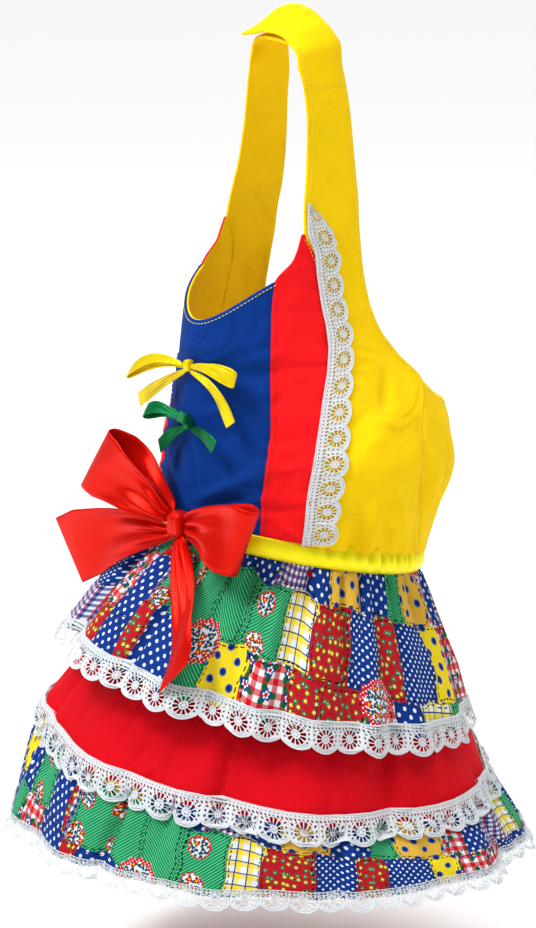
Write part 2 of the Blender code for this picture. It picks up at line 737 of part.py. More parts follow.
def make_ruffle(above_seam, seam, seam_normals):
    """The patchwork flounce under the red skirt's hem, and the lace over its seam and hem."""
    def top_at(angle):
        column = round(angle / (2 * math.pi) * len(seam)) % len(seam)
        below = hem_point(angle, RUFFLE_HEM) - seam[column]
        return seam[column] + below.normalized() * RUFFLE_GAP

    grid = tier_grid(top_at, lambda angle: hem_point(angle, RUFFLE_HEM), RUFFLE_PROFILE, len(seam),
                     lambda angle, share: wave_push(RUFFLE_WAVES, angle, share))
    normals = grid_normals(grid, True)
    wall("hem_ruffle", grid_surface(grid, True, normals), -CLOTH, 0.0, "patchwork_cotton")
    overlap, free = BASE_LACE
    rows = ((0.0, moved_row(seam, above_seam, overlap), seam_normals),
            (overlap / (overlap + free), seam, seam_normals),
            (1.0, moved_row(seam, grid[1], free), normals[1]))
    ring_lace("lace_base", rows, overlap + free, BASE_COLUMNS, False, BASE_LACE_SEAT)
    overlap, free = HEM_LACE
    rows = ((0.0, moved_row(grid[-1], grid[-2], overlap), normals[-1]),
            (overlap / (overlap + free), grid[-1], normals[-1]),
            (1.0, hanging_row(grid[-2], grid[-1], free), normals[-1]))
    ring_lace("lace_hem", rows, overlap + free, BASE_COLUMNS, False)


# The bows

def strip_surface(path, edges):
    """A ribbon's surface from its middle line and the half vector to its edge at each point."""
    grid = []
    for point, edge in zip(path, edges):
        grid.append([point - edge, point, point + edge])
    return grid_surface(grid)


def bow_piece(name, knot, knot_size, reach, row, ribbon, colour_name, steps=8):
    """One loop or tail of a bow. A loop runs out and back with its two leaves apart."""
    end, edge_end, bend, puff, width_share = row
    target = knot + Vector(end) * reach
    start = (target - knot).normalized() - Vector((0.0, 0.0, 0.0 if puff else TAIL_LEAN))
    start.normalize()
    root = knot + start * (ROOT_CLEARANCE * knot_clearance(start, knot_size) + SEAT_GAP)
    reach_left = (target - root).length
    direction = (target - root).normalized()
    edge_end = Vector(edge_end).normalized()
    edge_start = (edge_end - direction * edge_end.dot(direction)).normalized()
    side = direction.cross(edge_start).normalized()
    path, edges = [], []
    for step in range(steps + 1):
        turn = mix(-1.0, 1.0, step / steps) if puff else step / steps
        along = 1.0 - abs(turn) ** LOOP_ROUND if puff else turn
        point = root + direction * (along * reach_left)
        point += Vector(bend) * (reach * math.sin(math.pi * along))
        if puff:
            point += side * (puff * reach_left * math.sin(math.pi * turn) + turn * RIBBON)
        opened = min(along * RIBBON_OPENS, 1.0) ** RIBBON_SPREAD
        width = ribbon * mix(ROOT_HALF, 0.5 * width_share, opened)
        path.append(point)
        edges.append(edge_start.lerp(edge_end, along).normalized() * width)
    return wall(name, strip_surface(path, edges), -RIBBON / 2, RIBBON / 2, colour_name,
                RIBBON_ROUGHNESS)


def knot_clearance(direction, size):
    """Distance from a knot's centre to its face in a direction."""
    scaled = Vector((direction.x / size[0], direction.y / size[1], direction.z / size[2]))
    return 1.0 / scaled.length


def make_knot(name, centre, size, colour_name, rings=6, around=8):
    """The ribbon's knot, a small rounded pillow."""
    grid = []
    for ring in range(1, rings):
        polar = math.pi * ring / rings
        line = []
        for column in range(around):
            angle = 2 * math.pi * column / around
            line.append(centre + Vector((size[0] * math.sin(polar) * math.sin(angle),
                                         -size[1] * math.sin(polar) * math.cos(angle),
                                         size[2] * math.cos(polar))))
        grid.append(line)
    points, _, faces = grid_surface(grid, True)
    top = len(points)
    points = points + [centre + Vector((0, 0, size[2])), centre - Vector((0, 0, size[2]))]
    last = (rings - 2) * around
    for column in range(around):
        beside = (column + 1) % around
        faces.append((top, column, beside))
        faces.append((top + 1, last + beside, last + column))
    mesh = bpy.data.meshes.new(name)
    mesh.from_pydata(points, [], faces)
    mesh.shade_smooth()
    made = bpy.data.objects.new(name, mesh)
    bpy.context.scene.collection.objects.link(made)
    made.data.materials.append(material(colour_name, RIBBON_ROUGHNESS))
    return made


def make_bow(prefix, drop, table, reach, knot_size, ribbon, colour_name, cover):
    """A bow on the dress's front at a height, seated a small gap off what it is sewn to."""
    face = front_y(0.0, -drop) - cover
    knot = Vector((0.0, face - SEAT_GAP - knot_size[1], -drop))
    make_knot(f"{prefix}_knot", knot, knot_size, colour_name)
    for word, row in table.items():
        bow_piece(f"{prefix}_{word}", knot, knot_size, reach, row, ribbon, colour_name)


def make_bows():
    make_bow("red_bow", RED_BOW_DROP, RED_BOW, RED_BOW_REACH, RED_KNOT, WIDE_RIBBON, "red_satin",
             WAIST_HALF_DEPTH - WAIST_CENTRE_Y - front_depth(-RED_BOW_DROP) + BAND_SWELL)
    make_bow("yellow_bow", YELLOW_BOW_DROP, YELLOW_BOW, SMALL_BOW_REACH, SMALL_KNOT,
             NARROW_RIBBON, "yellow_satin", 0.0)
    make_bow("green_bow", GREEN_BOW_DROP, GREEN_BOW, SMALL_BOW_REACH, SMALL_KNOT,
             NARROW_RIBBON, "green_satin", 0.0)


def main():
    clear_scene()
    make_front()
    make_sides()
    make_back()
    make_bodice_lace()
    make_waist_and_skirt()
    make_bows()


main()
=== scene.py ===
"""A small dog's halter dress in printed cotton, lace and satin ribbon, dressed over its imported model.

Metres, +Z up, front towards -Y, the wearer's left towards +X, origin inside the top of the neck loop.
"""

import math

import bmesh
import bpy
import numpy as np
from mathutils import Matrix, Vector


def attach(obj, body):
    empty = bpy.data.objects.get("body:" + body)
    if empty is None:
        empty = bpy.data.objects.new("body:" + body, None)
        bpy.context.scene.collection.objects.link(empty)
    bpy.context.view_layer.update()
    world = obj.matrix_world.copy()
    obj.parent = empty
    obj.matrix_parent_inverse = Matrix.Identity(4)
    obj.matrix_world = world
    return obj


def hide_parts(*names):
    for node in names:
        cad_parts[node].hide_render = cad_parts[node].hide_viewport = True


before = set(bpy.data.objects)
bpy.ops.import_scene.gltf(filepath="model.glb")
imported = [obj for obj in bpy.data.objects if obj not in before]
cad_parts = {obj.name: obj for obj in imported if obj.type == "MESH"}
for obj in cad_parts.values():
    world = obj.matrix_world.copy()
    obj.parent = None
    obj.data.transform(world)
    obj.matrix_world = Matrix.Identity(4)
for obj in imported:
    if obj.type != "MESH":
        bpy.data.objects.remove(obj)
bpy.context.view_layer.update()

bl_info = {
    "name": "Dog Dress",
    "version": (1, 0, 0),
    "blender": (4, 5, 0),
    "location": "View3D > Sidebar > Dress",
    "description": "Builds a small dog's halter dress with lace, ruffles and bows",
    "category": "Add Mesh",
}

MM = 0.001
# Narrower ribbon gets no cut area worked out
SHEET_LEAST = 0.0101
# The least part of its own width by length that a panel is cut from
LEAST_CUT_SHARE = 0.31
# A random wave starts anywhere in about a full turn, in radians
PHASES = 6.3

# Bodice, waist and skirt, as in the model
HANG_TO_WAIST = 0.290
BODICE_HALF_WIDTH = 0.082
FRONT_DEPTH = 0.071
BACK_DEPTH = 0.080
WAIST_SLANT = 0.25
WAIST_HALF_WIDTH = 0.868 * BODICE_HALF_WIDTH
WAIST_HALF_DEPTH = 0.465 * (FRONT_DEPTH + BACK_DEPTH)
WAIST_CENTRE_Y = -0.003
BAND_HEIGHT = 0.011
BASE_WAIST_INSET = 0.0020
SEAT_GAP = 0.0003
RUFFLE_GAP = 0.0010
# Sewn panels meet closer than the model's solids do
SEAM_GAP = 0.0002

# Thickness of the cloth that shows, and how far the facing lies behind the front's face
COTTON = 1.1 * MM
DOUBLED_COTTON = 1.5 * MM
FACING = 1.0 * MM
FACING_BEHIND = 1.3 * MM
BAND_THICK = 1.2 * MM
RIBBON_THICK = 0.8 * MM
RIM_BULGE = 0.4

# The wearer's left and right
SIDES = ((1, "left"), (-1, "right"))

# Each tier's hem: radius, drop below the waist, middle from front to back, rise to front and right
OVERSKIRT_HEM = (0.1120, 0.0654, -0.0185, 0.0234, 0.0113)
BASE_HEM = (0.1236, 0.1090, -0.0208, 0.0158, 0.0095)
RUFFLE_HEM = (0.1428, 0.1540, -0.0182, 0.0135, -0.0045)

# Lace on the skirt: overlap on the cloth, free width, repeats around, lift off the cloth, flutter
OVERSKIRT_LACE = (0.0065, 0.0105, 47, 0.0007, 0.0008)
BASE_LACE = (0.0060, 0.0105, 52, 0.0016, 0.0004)
HEM_LACE = (0.0035, 0.0075, 60, 0.0007, 0.0008)
# The lace hangs the way that the cloth runs over its last stretch
HANGS_FROM = 0.004

# Lace on the bodice: it starts at a share of the way between two section rows, laps over the seam,
# opens to its full width, turns in after its straight repeats and tapers to the waist
BODICE_LACE_WIDTH = 0.017
BODICE_LACE_INSET = 0.0045
BODICE_LACE_REPEATS = 14
BODICE_LACE_LIFT = 0.0011
LACE_TOP_SHARE = 0.1
LACE_TOP_LAP = 0.001
LACE_TOP_OPENING = 0.12
LACE_STRAIGHT_REPEATS = 1.5
LACE_TAPER = (1.0, 0.9)
LACE_PITCH = 0.0147
PITCH_MM = LACE_PITCH / MM

# Rows of the bodice from the neck down. drop is a share of HANG_TO_WAIST, half_width of
# BODICE_HALF_WIDTH, the y values of the front's or back's depth; round is an outline's exponent.
SECTION_COLUMNS = ("drop", "half_width", "front_round", "back_round", "blue_y", "red_y", "side_y",
                   "slant")
SECTIONS = (
    (0.120, 0.283, 2.00, 3.0, 0.000, -0.191, 0.176, 0.00),
    (0.172, 0.315, 2.00, 3.0, 0.000, -0.186, 0.189, 0.00),
    (0.227, 0.334, 2.00, 3.0, 0.000, -0.201, 0.200, 0.00),
    (0.275, 0.354, 2.00, 3.0, 0.000, -0.225, 0.205, 0.00),
    (0.322, 0.380, 2.00, 3.0, 0.000, -0.262, 0.206, 0.00),
    (0.383, 0.418, 2.00, 3.0, -0.322, -0.296, 0.188, 0.00),
    (0.424, 0.440, 1.95, 3.0, -0.397, -0.222, 0.185, 0.00),
    (0.462, 0.470, 1.93, 3.0, -0.560, -0.192, 0.180, 0.00),
    (0.508, 0.515, 1.90, 3.0, -0.608, -0.196, 0.183, 0.00),
    (0.555, 0.573, 1.88, 3.0, -0.641, -0.192, 0.212, 0.00),
    (0.610, 0.656, 1.80, 3.0, -0.675, -0.248, 0.322, 0.00),
    (0.667, 0.768, 1.72, 2.9, -0.706, -0.350, 0.475, 0.00),
    (0.728, 0.895, 1.70, 2.7, -0.742, -0.448, 0.348, 0.10),
    (0.800, 1.000, 1.72, 2.4, -0.790, -0.535, 0.270, 0.35),
    (0.876, 0.975, 1.85, 2.2, -0.822, -0.575, 0.285, 0.65),
    (0.960, 0.880, 2.00, 2.1, -0.838, -0.590, 0.360, 1.00),
)
SECTION = {name: np.array([row[at] for row in SECTIONS]) for at, name in enumerate(SECTION_COLUMNS)}
LAST_ROW = len(SECTIONS) - 1
NECK_ROW = 7
RED_TIP_ROW = 5
ARMPIT_ROW = 11
FRONT_DEPTHS = ((0.46, 0.955), (0.60, 0.985), (0.80, 1.00), (1.00, 1.03))
BACK_DEPTHS = ((0.66, 1.00), (0.80, 1.00), (0.88, 0.95), (0.96, 0.87), (1.04, 0.83))
NECK_SCOOP = 0.021
SCOOP_FADE = (1.0, 0.72, 0.45, 0.2, 0.05, 0.0, 0.0, 0.0, 0.0)
BACK_SCOOP = 0.019
BACK_LEVEL = 4
BACK_FADE = (1.0, 0.55, 0.2, 0.0, 0.0)

# The straps over the neck: front edge and rear edge of each row, x first, shares of STRAP_REACH
STRAP_REACH = 0.020
LEFT_CREST = (
    ((-1.00, -1.00, -0.59), (-0.92, -0.50, -0.40)),
    ((-0.68, -0.88, -0.56), (-0.55, -0.08, 0.06)),
    ((-0.37, -0.74, -0.50), (-0.08, 0.05, 0.17)),
    ((-0.05, -0.73, -0.50), (0.26, 0.22, 0.07)),
    ((0.33, -0.73, -0.56), (0.70, 0.36, -0.23)),
    ((0.65, -0.73, -0.75), (0.95, 0.49, -0.53)),
    ((0.89, -0.70, -0.98), (1.09, 0.60, -0.84)),
    ((1.00, -0.73, -1.30), (1.11, 0.64, -1.35)),
)
RIGHT_CREST = (
    ((-0.40, -0.62, -0.76), (-0.35, 0.30, -0.44)),
    ((-0.10, -0.65, -0.70), (-0.05, 0.30, -0.32)),
    ((0.25, -0.65, -0.68), (0.32, 0.35, -0.28)),
    ((0.60, -0.66, -0.64), (0.67, 0.38, -0.42)),
    ((0.90, -0.62, -0.73), (0.93, 0.48, -0.64)),
    ((1.04, -0.64, -1.00), (1.07, 0.58, -0.95)),
    ((1.01, -0.73, -1.30), (1.11, 0.64, -1.35)),
)

# Skirt profiles: share of the drop, share of the outward reach
OVERSKIRT_PROFILE = ((0.0, 0.0), (0.22, 0.29), (0.55, 0.65), (1.0, 1.0))
BASE_PROFILE = ((0.0, 0.0), (0.22, 0.11), (0.5, 0.35), (0.8, 0.76), (1.0, 1.0))
RUFFLE_PROFILE = ((0.0, 0.0), (0.5, 0.56), (1.0, 1.0))

# Folds of the overskirt: degrees from the front to the left, half width in degrees, depth share.
# They are fully deep from the share FOLD_GROWTH of the drop.
FOLD_DEPTH = 0.006
FOLD_GROWTH = 0.25
OVERSKIRT_FOLDS = (
    (12, 9, 0.5), (34, 10, 1.0), (53, 8, 1.0), (72, 10, 0.5), (88, 9, 1.0), (106, 10, 0.6),
    (128, 11, 0.8), (150, 11, 0.6), (174, 12, 0.4), (198, 11, 0.6), (222, 11, 0.9),
    (246, 10, 0.6), (268, 10, 1.0), (290, 9, 0.6), (312, 10, 0.9), (338, 10, 0.7),
)
BASE_WAVES = ((7, 0.0016, 0.4), (11, 0.0010, 1.9))
RUFFLE_WAVES = ((11, 0.0020, 0.9), (17, 0.0013, 2.2))

# Each tier's pleats: how many, share of the deepest, half width in degrees, seed
OVERSKIRT_PLEATS = (30, 1.0, 4.8, 21)
BASE_PLEATS = (17, 0.75, 5.5, 5)
RUFFLE_PLEATS = (26, 0.7, 4.2, 12)
# How uneven pleats are: ranges of depth, of reach down the cloth and of width, how far the middle
# strays from even spacing and drifts in degrees on the way down, and how much a pleat opens
PLEAT_DEPTHS = (0.35, 1.0)
PLEAT_REACHES = (0.6, 1.9)
PLEAT_WIDTHS = (0.7, 1.5)
PLEAT_STRAY = 0.3
PLEAT_DRIFT = 7
PLEAT_OPENS = 0.8
# A pleat's steep and gentle sides, the roundness of its bottom, the ridge beside it, its start
PLEAT_SIDES = (0.55, 1.5)
PLEAT_ROUND = 1.6
PLEAT_RIDGE = 0.25
PLEAT_START = 0.06

# Gathers under a tier's seam: how many, size, how far down they fade, seed; and their mix of waves
OVERSKIRT_GATHERS = (52, 0.0011, 0.35, 3)
RUFFLE_GATHERS = (58, 0.0016, 0.6, 8)
GATHER_MIX = (1, 1.31, 0.73)
GATHER_START = 0.04

# How far the red skirt is drawn in under the overskirt, clear of its pleats, and how far down
TUCK = 0.006
TUCK_SHARE = 0.5

# Bows: end of a loop's or tail's middle line, half vector across the ribbon there, sideways bend,
# how far a loop's leaves stand apart, share of the ribbon's width that shows. Shares of the reach.
BOWS = {
    "red": dict(drop=0.2635, reach=0.085, knot=(0.0072, 0.0062, 0.0075), rows={
        "loop_right": ((-0.62, -0.16, 0.33), (0.48, 0.14, 0.86), (0.02, 0.0, 0.02), 0.13, 1.0),
        "loop_left": ((0.62, 0.02, 0.01), (0.30, 0.15, 0.94), (0.0, 0.0, 0.03), 0.13, 1.0),
        "tail_right": ((-0.89, -0.20, -0.35), (-0.40, -0.16, 0.90), (0.0, -0.03, 0.06), 0.0, 1.0),
        "tail_left": ((0.56, -0.50, -0.75), (0.62, 0.25, 0.74), (0.15, -0.06, -0.03), 0.0, 0.6),
    }),
    "yellow": dict(drop=0.1785, reach=0.046, knot=(0.0030, 0.0028, 0.0034), rows={
        "loop_right": ((-0.88, -0.16, -0.22), (0.05, 0.60, 0.80), (0.0, 0.0, 0.10), 0.05, 1.0),
        "loop_left": ((0.74, 0.06, -0.05), (0.10, 0.20, 0.97), (0.0, 0.0, 0.05), 0.09, 1.0),
        "tail_right": ((-0.98, 0.04, -0.60), (-0.40, 0.10, 0.90), (0.0, 0.0, 0.02), 0.0, 1.0),
        "tail_left": ((0.70, 0.04, -0.56), (0.80, 0.10, 0.60), (0.06, 0.0, 0.10), 0.0, 1.0),
    }),
    "green": dict(drop=0.2095, reach=0.046, knot=(0.0030, 0.0028, 0.0034), rows={
        "loop_right": ((-0.64, -0.10, 0.02), (0.05, 0.50, 0.86), (0.0, 0.0, 0.08), 0.12, 1.0),
        "loop_left": ((0.22, -0.26, 0.15), (0.50, -0.20, 0.84), (0.0, 0.0, 0.03), 0.15, 1.0),
        "tail_right": ((-0.46, -0.06, -0.36), (-0.40, 0.10, 0.90), (0.0, 0.0, 0.04), 0.0, 1.0),
        "tail_left": ((0.54, -0.06, -0.16), (0.40, 0.10, 0.90), (0.0, 0.0, 0.04), 0.0, 1.0),
    }),
}
ROOT_HALF = 0.09
ROOT_CLEARANCE = 1.04
TAIL_LEAN = 0.7
LOOP_ROUND = 1.7
LOOP_BULGE = 0.6
LEAVES_APART = 0.001
RIBBON_OPENS = 1.25
RIBBON_SPREAD = 0.8
# The ribbon's own relief, as shares of its width: pleats that fan out from the knot, waves, hollow
RIBBON_PLEATS = 0.06
RIBBON_WAVES = 0.05
RIBBON_HOLLOW = 0.05
# The waistband stands out this far under the wide bow
BAND_UNDER_BOW = 0.0008


# Smooth curves and surfaces

def smooth(xs, ys):
    """A curve through a table's points that never overshoots them, ys one value or more a point."""
    xs = np.asarray(xs, float)
    ys = np.asarray(ys, float)
    flat = ys.reshape(len(xs), -1)
    width = np.diff(xs)[:, None]
    slope = np.diff(flat, axis=0) / width
    inner = slope[:-1] * slope[1:]
    mean = np.where(inner > 0, 2 * inner / np.where(inner > 0, slope[:-1] + slope[1:], 1), 0)
    rate = np.concatenate([slope[:1], mean, slope[-1:]])

    def at(place):
        place = np.clip(np.asarray(place, float), xs[0], xs[-1])
        low = np.clip(np.searchsorted(xs, place, "right") - 1, 0, len(xs) - 2)
        step = width[low, 0]
        t = ((place - xs[low]) / step)[..., None]
        step = step[..., None]
        value = ((1 + 2 * t) * (1 - t) ** 2 * flat[low] + t * (1 - t) ** 2 * step * rate[low]
                 + t * t * (3 - 2 * t) * flat[low + 1] + t * t * (t - 1) * step * rate[low + 1])
        return value.reshape(place.shape + ys.shape[1:])
    return at


SECTION_AT = {name: smooth(SECTION["drop"], SECTION[name]) for name in SECTION_COLUMNS}
FRONT_SHARE = smooth(*zip(*FRONT_DEPTHS))
BACK_SHARE = smooth(*zip(*BACK_DEPTHS))


def half_width(z):
    """Half width of the bodice at a height."""
    return SECTION_AT["half_width"](-z / HANG_TO_WAIST) * BODICE_HALF_WIDTH


def side_x(y, z):
    """Half width of the bodice's face at a depth and height."""
    place = -z / HANG_TO_WAIST
    front = y < 0
    power = np.where(front, SECTION_AT["front_round"](place), SECTION_AT["back_round"](place))
    depth = np.where(front, FRONT_DEPTH * FRONT_SHARE(place), BACK_DEPTH * BACK_SHARE(place))
    return half_width(z) * (1 - np.minimum(np.abs(y) / depth, 1.0) ** power) ** (1 / power)


def front_y(x, z):
    """Depth of the bodice's front face at a place across it and a height."""
    place = -z / HANG_TO_WAIST
    power = SECTION_AT["front_round"](place)
    depth = FRONT_DEPTH * FRONT_SHARE(place)
    return -depth * (1 - np.minimum(np.abs(x) / half_width(z), 1.0) ** power) ** (1 / power)


def edge_y(column, row):
    """Depth of a panel's edge on one bodice row, by its column's name."""
    share = SECTION[column][row]
    return share * (FRONT_DEPTH if share < 0 else BACK_DEPTH)


def row_z(row, y):
    """Height of a bodice row at a depth: the lower rows slant with the waist."""
    return (-SECTION["drop"][row] * HANG_TO_WAIST
            - SECTION["slant"][row] * WAIST_SLANT * (y - WAIST_CENTRE_Y))


def side_rows(side, start, end, edge_in, edge_out, steps):
    """Rows across a side panel between two edges, each a column name and a shift in y."""
    rows = []
    for row in range(start, end):
        y = np.linspace(edge_y(edge_in[0], row) + edge_in[1], edge_y(edge_out[0], row) + edge_out[1],
                        steps + 1)
        z = row_z(row, y)
        line = np.stack([side * side_x(y, z), y, z], -1)
        rows.append(line if side > 0 else line[::-1])
    return rows


def lengths(lines):
    """Distance along each line of points from its first one."""
    steps = np.linalg.norm(np.diff(lines, axis=1), axis=2)
    return np.concatenate([np.zeros((len(lines), 1)), np.cumsum(steps, axis=1)], axis=1)


def closer_rows(rows, spacing):
    """A grid with rows drawn smoothly between the given ones, about spacing apart."""
    grid = np.array(rows)
    run = lengths(grid.swapaxes(0, 1)).mean(axis=0)
    count = max(int(run[-1] / spacing), 2)
    return smooth(run, grid)(np.linspace(0, run[-1], count + 1))


def grid_normals(grid, wrap=False):
    """A unit outward direction for each point of a grid, rows down and columns to the left."""
    if wrap:
        across = np.roll(grid, -1, 1) - np.roll(grid, 1, 1)
    else:
        across = np.gradient(grid, axis=1)
    normals = np.cross(np.gradient(grid, axis=0), across)
    return normals / np.maximum(np.linalg.norm(normals, axis=2, keepdims=True), 1e-9)


def flat_places(grid, wrap=False):
    """Where each point lies on the flat cloth, in metres: along the rows and down the columns."""
    if wrap:
        grid = np.concatenate([grid, grid[:, :1]], axis=1)
        share = np.linspace(0, 1, grid.shape[1])
        along = np.tile(share * lengths(grid[-1:])[0, -1], (len(grid), 1))
    else:
        along = lengths(grid)
        along = along - along[:, -1:] / 2
    down = np.tile(lengths(grid.swapaxes(0, 1)).mean(axis=0)[:, None], (1, grid.shape[1]))
    return np.stack([along, down], -1)


def ripple(points, size, wavelength, seed, count=7):
    """Soft uneven creases: a sum of slanting waves through space, the same for every piece."""
    random = np.random.default_rng(seed)
    total = np.zeros(points.shape[:-1])
    for _ in range(count):
        direction = random.normal(size=3) * (1.0, 1.0, 0.6)
        direction *= 2 * math.pi / (wavelength * random.uniform(0.7, 1.5) * np.linalg.norm(direction))
        total += np.sin(points @ direction + random.uniform(0, PHASES))
    return size * total / count ** 0.5


# Meshes

# Each cloth piece's outer face as a grid of points, with its outward directions
GRIDS = {}


def new_object(name, mesh):
    """A new object of the scene with the given mesh, light or camera."""
    made = bpy.data.objects.new(name, mesh)
    bpy.context.scene.collection.objects.link(made)
    return made


def grid_quads(index):
    """Faces between neighbouring rows and columns of a grid of point numbers."""
    return np.stack([index[:-1, :-1], index[1:, :-1], index[1:, 1:], index[:-1, 1:]],
                    -1).reshape(-1, 4)


def rim_loops(index, columns, wrap):
    """A grid's border, once or twice around: the point, column and row of each step."""
    last = len(index) - 1
    if wrap:
        return [list(zip(index[0][::-1], range(columns, -1, -1), [0] * (columns + 1))),
                list(zip(index[-1], range(columns + 1), [last] * (columns + 1)))]
    down = [(index[row, 0], 0, row) for row in range(last + 1)]
    along = [(index[-1, column], column, last) for column in range(1, columns)]
    up = [(index[row, -1], columns - 1, row) for row in range(last - 1, -1, -1)]
    back = [(index[0, column], column, 0) for column in range(columns - 2, -1, -1)]
    return [down + along + up + back]


def cloth(name, grid, thick, finish, wrap=False, top=0.0, held="stretched",
          replaces=(), lining=None):
    """A closed cloth piece from a grid of points: an outer and an inner face with a rounded rim."""
    rows, columns = grid.shape[:2]
    normals = grid_normals(grid, wrap)
    outer = (grid + normals * top).reshape(-1, 3)
    inner = (grid + normals * (top - thick)).reshape(-1, 3)
    places = flat_places(grid, wrap)
    index = np.arange(rows * columns).reshape(rows, columns)
    if wrap:
        index = np.concatenate([index, index[:, :1]], axis=1)
    spot = np.arange(rows * places.shape[1]).reshape(rows, -1)
    quads, spots = grid_quads(index), grid_quads(spot)
    count = len(outer)
    points = [outer, inner]
    faces = [quads, quads[:, ::-1] + count]
    marks = [spots, spots[:, ::-1]]
    start = 2 * count
    for loop in rim_loops(index, columns, wrap):
        ids = np.array([item[0] for item in loop])
        cells = np.array([spot[item[2], item[1]] for item in loop])
        before, after = outer[np.roll(ids[:-1], 1)], outer[np.roll(ids[:-1], -1)]
        out = np.cross(after - before, normals.reshape(-1, 3)[ids[:-1]])
        out /= np.maximum(np.linalg.norm(out, axis=1, keepdims=True), 1e-9)
        middle = (outer[ids[:-1]] + inner[ids[:-1]]) / 2 + out * (RIM_BULGE * thick)
        mids = np.append(np.arange(len(ids) - 1), 0) + start
        first, second = ids[:-1], ids[1:]
        left, right = cells[:-1], cells[1:]
        faces += [np.stack([second, first, mids[:-1], mids[1:]], -1),
                  np.stack([mids[1:], mids[:-1], first + count, second + count], -1)]
        marks += [np.stack([right, left, left, right], -1)] * 2
        points.append(middle)
        start += len(middle)
    mesh = bpy.data.meshes.new(name)
    mesh.from_pydata(np.concatenate(points).tolist(), [], np.concatenate(faces).tolist())
    layer = mesh.uv_layers.new(name="flat_cloth")
    layer.data.foreach_set("uv", places.reshape(-1, 2)[np.concatenate(marks).ravel()].ravel())
    mesh.shade_smooth()
    mesh.materials.append(finish)
    if lining:
        mesh.materials.append(lining)
        slots = np.zeros(len(mesh.polygons), int)
        slots[len(quads):2 * len(quads)] = 1
        mesh.polygons.foreach_set("material_index", slots)
    made = new_object(name, mesh)
    keep(made, *replaces)
    GRIDS[name] = grid + normals * top, normals
    width, length = np.ptp(places[..., 0]), np.ptp(places[..., 1])
    if min(width, length) > SHEET_LEAST:
        cut = width * length
        if held != "gathered":
            cut = min(max(grid_area(grid, wrap), LEAST_CUT_SHARE * cut), cut)
    return made


def grid_area(grid, wrap):
    """Area of a grid's cells, in square metres."""
    if wrap:
        grid = np.concatenate([grid, grid[:, :1]], axis=1)
    first, second = grid[1:, 1:] - grid[:-1, :-1], grid[1:, :-1] - grid[:-1, 1:]
    return np.linalg.norm(np.cross(first, second), axis=2).sum() / 2


def keep(made, *nodes):
    """The piece rides on the dress's only body and stands for these nodes of the model."""
    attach(made, "root")
    if nodes:
        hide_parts(*nodes)
    return made


# Materials

def colour(hex_code):
    """Linear colour from an sRGB hex value."""
    parts = [int(hex_code[at:at + 2], 16) / 255 for at in (1, 3, 5)]
    return tuple(part / 12.92 if part <= 0.04045 else ((part + 0.055) / 1.055) ** 2.4
                 for part in parts) + (1.0,)


def node(tree, kind, *values, out=0, named=None, **settings):
    """Add a node: its settings, then its inputs in order or by name, each a value or a socket."""
    made = tree.nodes.new(kind)
    for key, value in settings.items():
        setattr(made, key, value)
    for key, value in [*enumerate(values), *(named or {}).items()]:
        if isinstance(value, bpy.types.NodeSocket):
            tree.links.new(value, made.inputs[key])
        elif value is not None:
            made.inputs[key].default_value = value
    return made.outputs[out] if made.outputs else made


MATH = "ShaderNodeMath"
VECTOR = "ShaderNodeVectorMath"
MIX = "ShaderNodeMix"
# Small creases are drawn this many times their height, so that they read through the print
CRUMPLE_HEIGHT = 12


def new_material(name, roughness, **settings):
    """A material's tree and its shader, with the shader's constant values set on its sockets."""
    made = bpy.data.materials.new(name)
    made.use_nodes = True
    tree = made.node_tree
    shader = tree.nodes["Principled BSDF"]
    shader.inputs["Roughness"].default_value = roughness
    for key, value in settings.items():
        shader.inputs[key.replace("_", " ")].default_value = value
    return made, tree, shader


def darker(ink, share):
    """A colour at a share of its strength."""
    return tuple(part * share for part in ink[:3]) + (1.0,)


def uneven_dye(tree, shader, place, base, share, scale, detail=2.0):
    """The base colour clouded with a darker one, as dyed cloth and thread are."""
    cloud = node(tree, "ShaderNodeTexNoise", place, named={"Scale": scale, "Detail": detail})
    dye = node(tree, MIX, named={0: cloud, 6: tuple(base), 7: darker(base, share)}, out=2,
               data_type="RGBA")
    tree.links.new(dye, shader.inputs["Base Color"])


def woven_cotton(name, base):
    """Plain woven cotton: matt, a fine weave and small creases that catch the light, and slightly
    uneven dye."""
    made, tree, shader = new_material(name, 0.85, Specular_IOR_Level=0.12)
    place = node(tree, "ShaderNodeUVMap", uv_map="flat_cloth")
    weave(tree, shader, place, crumple=0.0005)
    uneven_dye(tree, shader, place, base, 0.86, 40.0, 3.0)
    return made


def weave(tree, shader, place, thread=0.9, depth=0.00012, crumple=0.0):
    """Bump of crossing threads, drawn at 0.9 mm on cotton and 0.6 mm on satin, coarser than the real
    0.35 mm, so that it shows, over the cloth's own small creases."""
    turn = 2 * math.pi / (thread * MM)
    phase = node(tree, VECTOR, place, (turn, turn, 0.0), operation="MULTIPLY")
    waves = node(tree, VECTOR, phase, operation="SINE")
    parts = node(tree, "ShaderNodeSeparateXYZ", waves).node
    height = node(tree, MATH, parts.outputs[0], parts.outputs[1], operation="MULTIPLY")
    creases = None
    if crumple:
        fold = node(tree, "ShaderNodeTexNoise", place,
                    named={"Scale": 34.0, "Detail": 2.5, "Roughness": 0.4, "Distortion": 0.9})
        creases = node(tree, "ShaderNodeBump", named={
            "Strength": 1.0, "Distance": CRUMPLE_HEIGHT * crumple, "Height": fold})
    bump = node(tree, "ShaderNodeBump", named={"Strength": 0.5, "Distance": depth, "Height": height,
                                               "Normal": creases})
    tree.links.new(bump, shader.inputs["Normal"])


